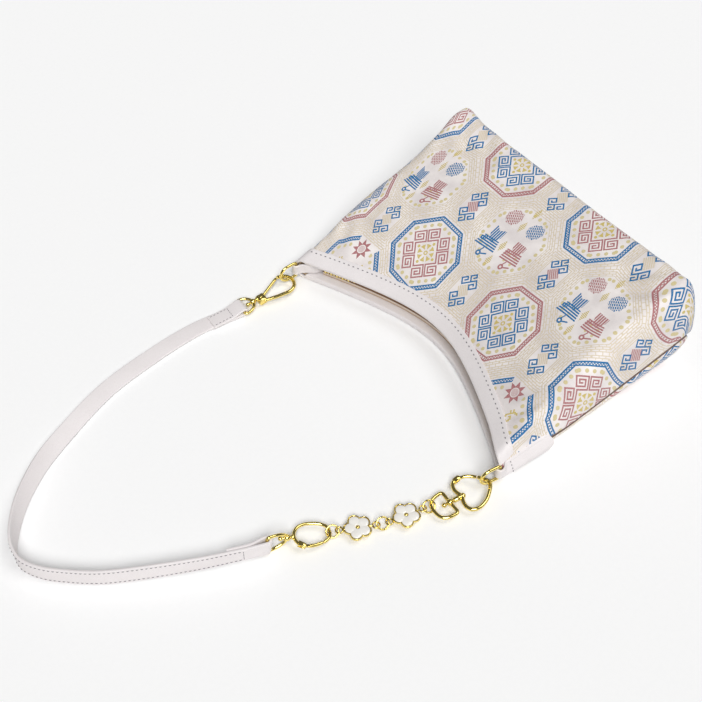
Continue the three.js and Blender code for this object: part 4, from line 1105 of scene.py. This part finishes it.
def strap_stitches():
    """Two rows of thread along the strap's outer face, near its edges, up to a row across each fold."""
    centres, widths, normals, fold = strap_frames()
    run = run_along(centres)
    first, last, end = run[fold - 1], run[-fold], run[-1]
    spans = [(1.5, STRAP_FOLD - SNAP_CROSS_ROW), (first + SNAP_CROSS_ROW, last - OVAL_CROSS_ROW),
             (end - STRAP_FOLD + OVAL_CROSS_ROW, end - 1.5)]
    lengths = np.concatenate([np.arange(a + 1.2, b - 0.6, STRAP_STITCH_PITCH) for a, b in spans])
    through = normals * (STRAP_SKIN / 2 + 0.02)
    up = unit(-at_lengths(normals, run, lengths))
    parts = []
    for row in (-1, 1):
        line = centres + widths * row * (STRAP_WIDTH / 2 - STRAP_STITCH_IN) - through
        before, spots, after = [at_lengths(line, run, lengths + step) for step in (-0.4, 0, 0.4)]
        parts += stitches(spots, unit(after - before), up, length=1.9, width=0.46)
    for cross in (STRAP_FOLD - SNAP_CROSS_ROW, last - OVAL_CROSS_ROW):
        middle, wide, inward = [at_lengths(field, run, np.full(5, cross))
                                for field in (centres - through, widths, normals)]
        spots = middle + wide * np.linspace(-4.2, 4.2, 5)[:, None]
        parts += stitches(spots, unit(wide), unit(-inward), length=1.4, width=0.5)
    return parts


# Materials

class Value:
    """A shader socket in Python expressions: every operator adds one Math node."""

    def __init__(self, tree, socket):
        self.tree, self.socket = tree, socket

    def math(self, operation, *others):
        """One Math node with this value first."""
        sockets = dict(enumerate((self, *others)))
        return node(self.tree, "ShaderNodeMath", {"operation": operation}, sockets)[0]

    def swapped(self, operation, other):
        """One Math node with this value second."""
        return node(self.tree, "ShaderNodeMath", {"operation": operation}, {0: other, 1: self})[0]

    def __add__(self, other):
        return self.math("ADD", other)

    def __sub__(self, other):
        return self.math("SUBTRACT", other)

    def __mul__(self, other):
        return self.math("MULTIPLY", other)

    def __truediv__(self, other):
        return self.math("DIVIDE", other)

    def __rsub__(self, other):
        return self.swapped("SUBTRACT", other)

    def __pow__(self, other):
        return self.math("POWER", other)

    def __rpow__(self, other):
        return self.swapped("POWER", other)

    def __gt__(self, other):
        return self.math("GREATER_THAN", other)

    def __lt__(self, other):
        return self.math("LESS_THAN", other)

    def __mod__(self, other):
        return self.math("FLOORED_MODULO", other)

    def __abs__(self):
        return self.math("ABSOLUTE")

    __radd__ = __add__
    __rmul__ = __mul__

    def floor(self):
        """The whole number below."""
        return self.math("FLOOR")

    def part(self):
        """What is left over the whole number below."""
        return self.math("FRACT")

    def root(self):
        """The square root."""
        return self.math("SQRT")

    def high(self, other):
        """The greater of two values."""
        return self.math("MAXIMUM", other)

    def low(self, other):
        """The smaller of two values."""
        return self.math("MINIMUM", other)

    def is_number(self, number):
        """1 where a whole value is this number."""
        return self.math("COMPARE", number, 0.25)


def give(tree, socket, given):
    """Links a value to a socket, or sets a plain number or colour on it."""
    if isinstance(given, Value):
        tree.links.new(given.socket, socket)
    else:
        socket.default_value = given


def node(tree, kind, settings, sockets):
    """Adds a node, sets its settings, then gives its sockets values or links. Returns its outputs."""
    made = tree.nodes.new(kind)
    for key, setting in settings.items():
        setattr(made, key, setting)
    for key, given in sockets.items():
        give(tree, made.inputs[key], given)
    return [Value(tree, out) for out in made.outputs]


def tone(red, green, blue):
    """A display colour of 0 to 255 as the linear colour that a shader takes."""
    c = np.array([red, green, blue]) / 255
    c = np.where(c <= 0.04045, c / 12.92, ((c + 0.055) / 1.055) ** 2.4)
    return (*c.tolist(), 1.0)


def mixed(tree, share, a, b):
    """Colour a where share is 0 and b where it is 1, from the colour sockets of a Mix node."""
    return node(tree, "ShaderNodeMix", {"data_type": "RGBA"}, {0: share, 6: a, 7: b})[2]


def feed(tree, shader, **sockets):
    """Gives the shader's sockets their values or links; a name is the socket's in small letters."""
    for key, given in sockets.items():
        give(tree, shader.inputs[key.replace("_", " ").title().replace("Ior", "IOR")], given)


def surface(name, **constant):
    """A material with one Principled shader; constants go straight on its sockets."""
    material = bpy.data.materials.new(name)
    material.use_nodes = True
    tree = material.node_tree
    shader = tree.nodes["Principled BSDF"]
    feed(tree, shader, **constant)
    return material, tree, shader


def bumped(tree, height, strength, distance):
    """A normal from a height in units of distance, in metres."""
    sockets = {"Strength": strength, "Distance": distance, "Height": height}
    return node(tree, "ShaderNodeBump", {}, sockets)[0]


def noise(tree, where, scale, detail):
    """Soft noise of 0 to 1 at a place."""
    sockets = {"Vector": where, "Scale": scale, "Detail": detail, "Roughness": 0.55}
    return node(tree, "ShaderNodeTexNoise", {}, sockets)[0]


def object_place(tree):
    """Place in the frame, in metres."""
    return node(tree, "ShaderNodeTexCoord", {}, {})[3]


def cloth_place(tree):
    """Place on the flat cloth, from the piece's own attribute."""
    return node(tree, "ShaderNodeAttribute", {"attribute_name": CLOTH_PLACE}, {})[1]


def split(tree, vector):
    """The three numbers of a vector."""
    return node(tree, "ShaderNodeSeparateXYZ", {}, {0: vector})


# Charts of the woven figures, drawn row by row from the top, with an x for each marked square
FRET_CHART = ["xxxxxxxxx", "x.......x", "x.xxxxx.x", "x.x...x.x", "x.x.xxx.x", "x.x.....x", "x.xxxxxxx",
              "x........", "xxxxxxxxx"]
HOOK_CHART = [".xxxxx.xxxxx", ".x...x.x...x", ".x.xxx.x.xxx", ".x.....x....", ".xxxxxxxxxxx",
              "...........x", "......xxxx.x", "......x..x.x", "......x....x", "......xxxxxx"]
CURL_CHART = ["....x.x..", "....x.x..", ".xxxxxxx.", "xx.....xx", "x..xx...x", "x...x....", "xx.xx....",
              ".xxx....."]
# Squares of the charts, pitch of the bead rings and of the birds' stripes, as shares of a lattice cell
FRET_SQUARE, HOOK_SQUARE, CURL_SQUARE, BEAD_PITCH, BIRD_PITCH = 0.0167, 0.0172, 0.0165, 0.082, 0.0286
DIAGONAL = 0.70711
EIGHTHS = 4 / math.pi


def charted(chart, x, y, cell):
    """1 on the marked squares of a chart whose lower left corner is at x = y = 0: the row is picked by
    comparing, and the column is read as a binary digit of that row."""
    col = (x / cell).floor()
    row = (y / cell).floor()
    inside = (col > -0.5) * (col < len(chart[0]) - 0.5)
    total = 0.0
    for k, line in enumerate(reversed(chart)):
        number = sum(2 ** j for j, mark in enumerate(line) if mark == "x")
        total = row.is_number(float(k)) * float(number) + total
    return ((total / 2.0 ** col.high(0.0)).floor() % 2.0) * inside


def stripe(value, pitch, share):
    """1 over the first share of every pitch."""
    return (value / pitch).part() < share


def between(value, low, high):
    """1 where a value is between two others."""
    return (value > low) * (value < high)


def triangle(value):
    """Triangle wave: 1 at whole numbers and 0 halfway between them."""
    return abs(value.part() - 0.5) * 2


def squares(a, b):
    """The sum of two squares."""
    return a * a + b * b


def any_of(mask, *others):
    """1 where any of some masks is 1."""
    for other in others:
        mask = mask.high(other)
    return mask


def woven_bird(x, y):
    """A flying bird: a wing of slanted stripes, a forked tail, a curled head and a beak."""
    along, over = x * 0.781 - y * 0.625, x * 0.625 + y * 0.781
    from_edge = over + 0.091
    wing = between(over, -0.091, 0.038) * (along > from_edge * 0.46 - 0.147)
    wing = wing * (along < 0.152 - from_edge * 0.235) * stripe(from_edge, BIRD_PITCH, 0.6)
    rise, side = (x + y) * DIAGONAL, (x - y) * DIAGONAL
    fork = (rise < 0.148 + 0.55 * abs(side - 0.011)) * (side < 0.052 + 0.48 * rise) * (side < 0.093)
    fork = fork * between(side + 0.62 * rise.low(0.07), -0.012, 0.2) * (rise > -0.004)
    fork = fork * stripe(side, BIRD_PITCH, 0.68)
    head = between(squares(x + 0.112, y + 0.128), 0.00018, 0.00105)
    lobe = between(x, -0.1, -0.015) * between(y, 0.02, 0.2) * (y < 0.084 - 0.4 * (x + 0.1))
    lobe = lobe * stripe(x - y, 0.0404, 0.68)
    beak = between(x, -0.09, -0.014) * (abs(y + 0.143 + 0.28 * (x + 0.09)) < 0.0085)
    neck = between(x, -0.105, -0.045) * (abs(y + 0.083 - 0.5 * (x + 0.05)) < 0.008)
    return any_of(wing, fork, lobe, head, beak, neck)


def brocade():
    """Silk brocade: octagon medallions with frets, bird cells, star cells and hooked squares on a cream
    ground. Figures are drawn in lattice cells, in the order in which they cover each other."""
    material, tree, shader = surface("silk_brocade", specular_ior_level=0.22, sheen_weight=0.03,
                                     sheen_roughness=0.4)
    blue, rose, deep_blue = tone(0, 106, 162), tone(172, 112, 114), tone(10, 62, 120)
    gold, pale_gold, bead_gold = tone(203, 182, 98), tone(213, 198, 170), tone(207, 192, 136)

    # Cells of the lattice, the place in a cell from its middle, and what a cell holds
    cloth = cloth_place(tree)
    across, down, lining_and_seam_shade = split(tree, cloth)
    u = (across - MEDALLION_ACROSS) / REPEAT_ACROSS
    w = (down + REPEAT_DOWN / 2) / REPEAT_DOWN
    right, up = w - u, w + u
    col, row = (right + 0.5).floor(), (up + 0.5).floor()
    x, y = right - col, up - row
    kind = (col + row) % 4.0
    medallion = 1 - (kind % 2.0)
    birds, stars = kind.is_number(1.0), kind.is_number(3.0)
    odd = row % 2.0

    # Cream ground with faint clouds of darker and lighter tone, painted as the satin's patchy sheen
    cloud = noise(tree, cloth, 0.04, 3.0)
    color = mixed(tree, (cloud - 0.3) * 2.2, tone(213, 205, 204), tone(247, 241, 238))

    # Octagon about a cell's middle: d outward from it and t along its sides
    mx, my = x - 0.035 * stars, y + 0.075 * stars
    ax, ay = abs(mx), abs(my)
    p, q = ax.high(ay), ax.low(ay)
    slant = (p + q) * DIAGONAL
    d = p.high(slant)
    on_slant = slant > p
    t = q + on_slant * ((p - q) * DIAGONAL - q)
    drawn_in = 0.017 * stars

    # Pale gold lattice between the cells, and frames round the hooked squares
    cx, cy = right - right.floor() - 0.5, up - up.floor() - 0.5
    corner = abs(cx) + abs(cy)
    band = (d > 0.436 - 0.034 * birds - drawn_in) * (corner > 0.25)
    course = d / 0.025
    rung = (t / 0.07 + 0.5 * (course.floor() % 2.0)).part() < 0.14
    lines = (course.part() < 0.4).high(rung)
    square_frame = between(corner, 0.185, 0.25) * stripe(corner, 0.032, 0.52)
    lattice = (band * lines).high(square_frame)
    color = mixed(tree, lattice * 0.9, color, pale_gold)

    # Borders of the medallions and star cells: two rails with a zigzag or dots between them
    edge = d + drawn_in
    rail = (abs(edge - 0.377) < 0.008).high(abs(edge - 0.416) < 0.009)
    phase = (t / 0.033).part() - 0.5
    zigzag = abs((edge - 0.385) / 0.023 - abs(phase) * 2) < 0.34
    dot = phase * phase + ((edge - 0.3965) / 0.033) ** 2.0 < 0.08
    dotted = on_slant * (mx * my > 0)
    fill = (zigzag * (1 - dotted)).high(dot * dotted) * between(edge, 0.383, 0.41)
    border = rail.high(fill) * (medallion + stars * (1 - dotted))
    color = mixed(tree, border, color, mixed(tree, odd * medallion, blue, rose))

    # Frets of the medallions
    fret = charted(FRET_CHART, q - 0.004, p - 0.127, FRET_SQUARE) * medallion
    color = mixed(tree, fret, color, mixed(tree, odd, rose, blue))

    # Gold figures: bead rings, rosettes, lozenges and loose beads of the bird cells, curls
    bead_x, bead_y = ((t / BEAD_PITCH).part() - 0.5) * BEAD_PITCH, d - (0.325 + 0.038 * birds - drawn_in)
    star_x, star_y = x - 0.231, y - 0.152
    star_r = squares(star_x, star_y).root()
    beads = (squares(bead_x, bead_y) < 0.00046) * (1 - stars * (star_r < 0.14))
    r = squares(x, y).root()
    wedge = triangle(y.math("ARCTAN2", x) * EIGHTHS)
    rosette = between(r, 0.042, 0.1) * (wedge < (r - 0.03) / 0.085)
    knot = between(r, 0.012, 0.026).high(squares(ax - 0.09, ay - 0.09) < 0.0003)
    flown = y - 0.055
    rise, side = abs(x + flown) * DIAGONAL, abs(x - flown) * DIAGONAL
    near = abs(rise - 0.14).low(abs(rise - 0.35))
    lozenge = (near / 0.08 + side / 0.036 < 1) * stripe(rise, 0.019, 0.62) * birds
    loose = (squares(abs(side - 0.2) - 0.05, abs(rise - 0.2) - 0.04) < 0.00028) * birds
    curl_a = charted(CURL_CHART, mx + 0.144, my - 0.044, CURL_SQUARE)
    curl_b = charted(CURL_CHART, mx - 0.116, my + 0.106, CURL_SQUARE)
    ochre = any_of(rosette.high(knot) * medallion, lozenge, curl_a.high(curl_b) * stars)

    # Two birds and two posies of dashes in a bird cell, clear of the beads
    low_left, second = x + flown < 0, x - flown > 0.1
    bird = woven_bird(x + 0.262 - second * 0.277, flown + second * 0.222) * birds * low_left
    posy_x, posy_y = x + 0.002 - second * 0.252, flown - 0.24 + second * 0.23
    by_posy = (squares(posy_x, posy_y) < 0.0144) * birds
    color = mixed(tree, beads.high(loose) * (1 - by_posy) * 0.9, color, bead_gold)
    color = mixed(tree, ochre * 0.95, color, gold)
    color = mixed(tree, bird, color, mixed(tree, second, blue, rose))
    dash = stripe(posy_x + 0.012 * ((posy_y / 0.034).floor() % 2.0), 0.024, 0.64)
    dash = dash * stripe(posy_y + 0.2 * posy_x, 0.034, 0.84)
    scallop = (posy_y.math("ARCTAN2", posy_x) * 9.0).math("SINE") * 0.006 + 0.103
    posy = (posy_x * posy_x + posy_y * posy_y * 1.25).root() < scallop
    posy = posy * dash * birds * (1 - low_left)
    color = mixed(tree, posy, color, mixed(tree, second, rose, blue))

    # Eight pointed star and blue spot of a star cell
    ray = triangle(star_y.math("ARCTAN2", star_x) * EIGHTHS + 0.5)
    star = (star_r * (1 + 0.9 * (1 - ray)) < 0.125) * (star_r > 0.052) * stars
    color = mixed(tree, star.high((star_r < 0.042) * stars * 0.45), color, rose)
    spot = (ay < ax * 0.9) * (ax < 0.042) * stars
    color = mixed(tree, spot, color, deep_blue)

    # Hooked squares where four cells meet
    pale_row = (right.floor() + up.floor()) % 2.0
    facing = (cx + cy > 0) * 2 - 1
    hook = charted(HOOK_CHART, cx * facing + 0.048, cy * facing + 0.008, HOOK_SQUARE)
    square = (abs(cx).high(abs(cy)) < 0.064) * stripe(cx, 0.021, 0.7)
    color = mixed(tree, square * 0.9, color, mixed(tree, pale_row, rose, pale_gold))
    color = mixed(tree, hook, color, blue)

    # Thread grain, the seam line as painted shade of its groove, and lining
    figure = any_of(border, fret, ochre, bird, posy, star, hook, square, beads)
    grain = noise(tree, cloth, 1.1, 2.0)
    color = mixed(tree, (grain - 0.46).high(0.0) * (1.4 - 0.7 * figure), color, tone(236, 231, 228))
    # Painted shade: a dark brown line along the side and base seam, where the groove's shadow falls
    color = mixed(tree, between(lining_and_seam_shade, 0.12, 0.5), color, tone(112, 94, 86))
    twill = ((across + down) / 0.9).part()
    lining = mixed(tree, twill, tone(176, 152, 124), tone(200, 178, 150))
    color = mixed(tree, lining_and_seam_shade > 0.5, color, lining)
    warp, weft = triangle(across / 0.42), triangle(down / 0.36)
    height = figure * 0.6 + lattice * 0.35 + (figure * (weft - warp) + warp) * 0.2
    feed(tree, shader, base_color=color, roughness=0.4 + 0.14 * figure + 0.2 * (grain - 0.5),
         normal=bumped(tree, height, 0.6, 0.0004))
    return material


def calf_leather():
    """Smooth near-white leather: fine pebbled grain, faint clouding and pores."""
    material, tree, shader = surface("white_leather", specular_ior_level=0.45)
    where = object_place(tree)
    cells = {"Vector": where, "Scale": 1500.0}
    pebble = node(tree, "ShaderNodeTexVoronoi", {"feature": "F1"}, cells)[0]
    fine = noise(tree, where, 2600.0, 2.0)
    cloud = noise(tree, where, 45.0, 3.0)
    color = mixed(tree, cloud, tone(224, 218, 218), tone(236, 231, 231))
    color = mixed(tree, (pebble - 0.35).high(0.0) * 0.4, color, tone(206, 198, 196))
    feed(tree, shader, base_color=color, roughness=0.42 + 0.16 * fine,
         normal=bumped(tree, fine * 0.5 - pebble, 0.35, 0.00018))
    return material


def thread_grey():
    """Twisted sewing thread: slanted plies across its length."""
    material, tree, shader = surface("grey_thread", specular_ior_level=0.3)
    px, py, pz = split(tree, object_place(tree))
    ply = ((px + py + pz) * 3200).math("SINE")
    color = mixed(tree, ply * 0.3 + 0.5, tone(86, 84, 88), tone(122, 120, 124))
    feed(tree, shader, base_color=color, roughness=0.62 + 0.1 * ply,
         normal=bumped(tree, ply, 0.4, 0.0001))
    return material


def tape_weave():
    """Herringbone zip tape in a warm cream, with a tan lower edge darkened in part as painted shade
    where it meets the back facing, and a brown upper half that is painted shade under the front facing.
    """
    material, tree, shader = surface("tan_tape", specular_ior_level=0.2)
    px, _, pz = split(tree, object_place(tree))
    twill = triangle(px * 900 + triangle(pz * 500))
    color = mixed(tree, twill, tone(214, 198, 182), tone(238, 226, 212))
    share = split(tree, cloth_place(tree))[0]
    # Tan lower edge: the tape's own edge, partly painted shade where it meets the back facing
    color = mixed(tree, (share < 0.07) * 0.8, color, tone(188, 152, 116))
    # Painted shade: brown over the upper part, the shadow under the front facing
    color = mixed(tree, share > 0.22, color, tone(126, 92, 68))
    feed(tree, shader, base_color=color, roughness=0.8 + 0.1 * twill,
         normal=bumped(tree, twill, 0.5, 0.0003))
    return material


def polished_gold():
    """Bright gilt metal: light cast texture, hairline polish marks and small shifts of gloss."""
    material, tree, shader = surface("polished_gold", metallic=1.0)
    where = object_place(tree)
    cloud = noise(tree, where, 160.0, 3.0)
    drawn = node(tree, "ShaderNodeMapping", {}, {"Vector": where, "Scale": (1.0, 7.0, 3.0)})[0]
    mark = noise(tree, drawn, 900.0, 2.0)
    color = mixed(tree, cloud, tone(240, 212, 112), tone(252, 234, 152))
    feed(tree, shader, base_color=color, roughness=0.07 + 0.06 * cloud + 0.05 * mark,
         normal=bumped(tree, mark, 0.08, 0.0001))
    return material


def white_enamel():
    """Fired white enamel: high gloss, faint pooling of tone and a soft orange peel."""
    material, tree, shader = surface("white_enamel", coat_weight=0.6, coat_roughness=0.05)
    where = object_place(tree)
    cloud = noise(tree, where, 220.0, 2.0)
    peel = noise(tree, where, 900.0, 1.0)
    color = mixed(tree, cloud, tone(236, 232, 224), tone(250, 248, 243))
    feed(tree, shader, base_color=color, roughness=0.16 + 0.1 * peel,
         normal=bumped(tree, peel, 0.12, 0.0001))
    return material


def floor_paper():
    """Plain pale floor with a barely seen paper tooth."""
    material, tree, shader = surface("pale_floor", specular_ior_level=0.1)
    tooth = noise(tree, object_place(tree), 300.0, 2.0)
    color = mixed(tree, tooth, tone(248, 248, 248), tone(251, 251, 251))
    feed(tree, shader, base_color=color, roughness=0.9)
    return material


def floor():
    """A wide square just under the surface that the bag lies on."""
    corners = [(-1, -1), (1, -1), (1, 1), (-1, 1)]
    mesh = bpy.data.meshes.new("floor")
    points = [(x * FLOOR_REACH, y * FLOOR_REACH, FLOOR_Z) for x, y in corners]
    mesh.from_pydata(points, [], [(0, 1, 2, 3)])
    mesh.materials.append(floor_paper())
    obj = bpy.data.objects.new("floor", mesh)
    bpy.context.scene.collection.objects.link(obj)


def bag():
    """Makes every piece and gives it its body, finish and CAD node."""
    silk, leather, thread = brocade(), calf_leather(), thread_grey()
    gilt, white = polished_gold(), white_enamel()
    piece("front_cloth", [front_cloth()], silk, stands_for=["front_panel"])
    piece("back_cloth", [back_cloth()], silk, stands_for=["back_panel"])
    for name, height, sign in (("front", front_surface, 1), ("back", back_surface, -1)):
        facing = rim_leather(height, sign)
        piece(f"rim_{name}_leather", [facing], leather, stands_for=[f"rim_{name}"])
    piece("rim_front_stitches", rim_stitches(), thread)
    piece("zip_curtain", [zip_curtain()], tape_weave(), stands_for=["zip_tape"])
    piece("zip_meshed_teeth", zip_teeth(), gilt, stands_for=["zip_teeth"])
    piece("zip_slider_body", [zip_slider()], gilt, stands_for=["zip_slider"])
    for name, side, yaw in (("left", 1, 0.0), ("right", -1, -9.0)):
        piece(f"tab_{name}_leather", [side_tab(side)], leather, stands_for=[f"tab_{name}"])
        piece(f"tab_{name}_stitches", tab_stitches(side), thread)
        piece(f"d_ring_{name}", [d_ring(side, yaw)], gilt, stands_for=[f"ring_{name}"])
    piece("strap_leather", [strap_leather()], leather, stands_for=["strap"])
    piece("strap_stitches", strap_stitches(), thread)
    metal = [
        ("snap_strap_eye", swivel_eye(snap_eye_plane, SNAP_EYE_BACK, snap_plane), "bag", "snap_eye"),
        ("snap_hook_wire", snap_hook(snap_plane), "bag", "snap_hook"),
        ("snap_gate_bar", snap_gate(snap_plane), "snap_gate", "snap_gate"),
        ("oval_strap_eye", swivel_eye(oval_eye_plane, OVAL_EYE_BACK, oval_plane), "bag", "oval_eye"),
        ("oval_clasp_wire", oval_hook(oval_plane), "bag", "oval_hook"),
        ("oval_gate_bar", curved_gate(oval_plane, OVAL_HINGE, OVAL_GATE, OVAL_REACH),
         "oval_gate", "oval_gate"),
        ("heart_chain_eye", heart_eye(heart_eye_plane, heart_plane), "bag", "heart_eye"),
        ("heart_clasp_wire", heart_hook(heart_plane), "bag", "heart_hook"),
        ("heart_gate_bar", curved_gate(heart_plane, HEART_HINGE, HEART_GATE, HEART_REACH),
         "heart_gate", "heart_gate"),
        ("link_ring_1", [jump_ring(link_1, CHAIN_DIR[4])], "bag", "jump_ring_1"),
        ("link_ring_2", [jump_ring(link_2, CHAIN_DIR[2])], "bag", "jump_ring_2"),
        ("link_ring_3", [jump_ring(link_3, CHAIN_DIR[0])], "bag", "jump_ring_3"),
    ]
    for name, parts, body, stands_for in metal:
        piece(name, parts, gilt, body, [stands_for])
    for k, at, way in ((1, flower_1, CHAIN_DIR[3]), (2, flower_2, CHAIN_DIR[1])):
        plane = level((at[0], at[1], CHAIN_Z), way[0], way[1], 0)
        piece(f"blossom_{k}", flower_setting(plane), gilt, stands_for=[f"flower_{k}"])
        piece(f"blossom_enamel_{k}", [flower_enamel(plane)], white, stands_for=[f"enamel_{k}"])


studio()
floor()
bag()
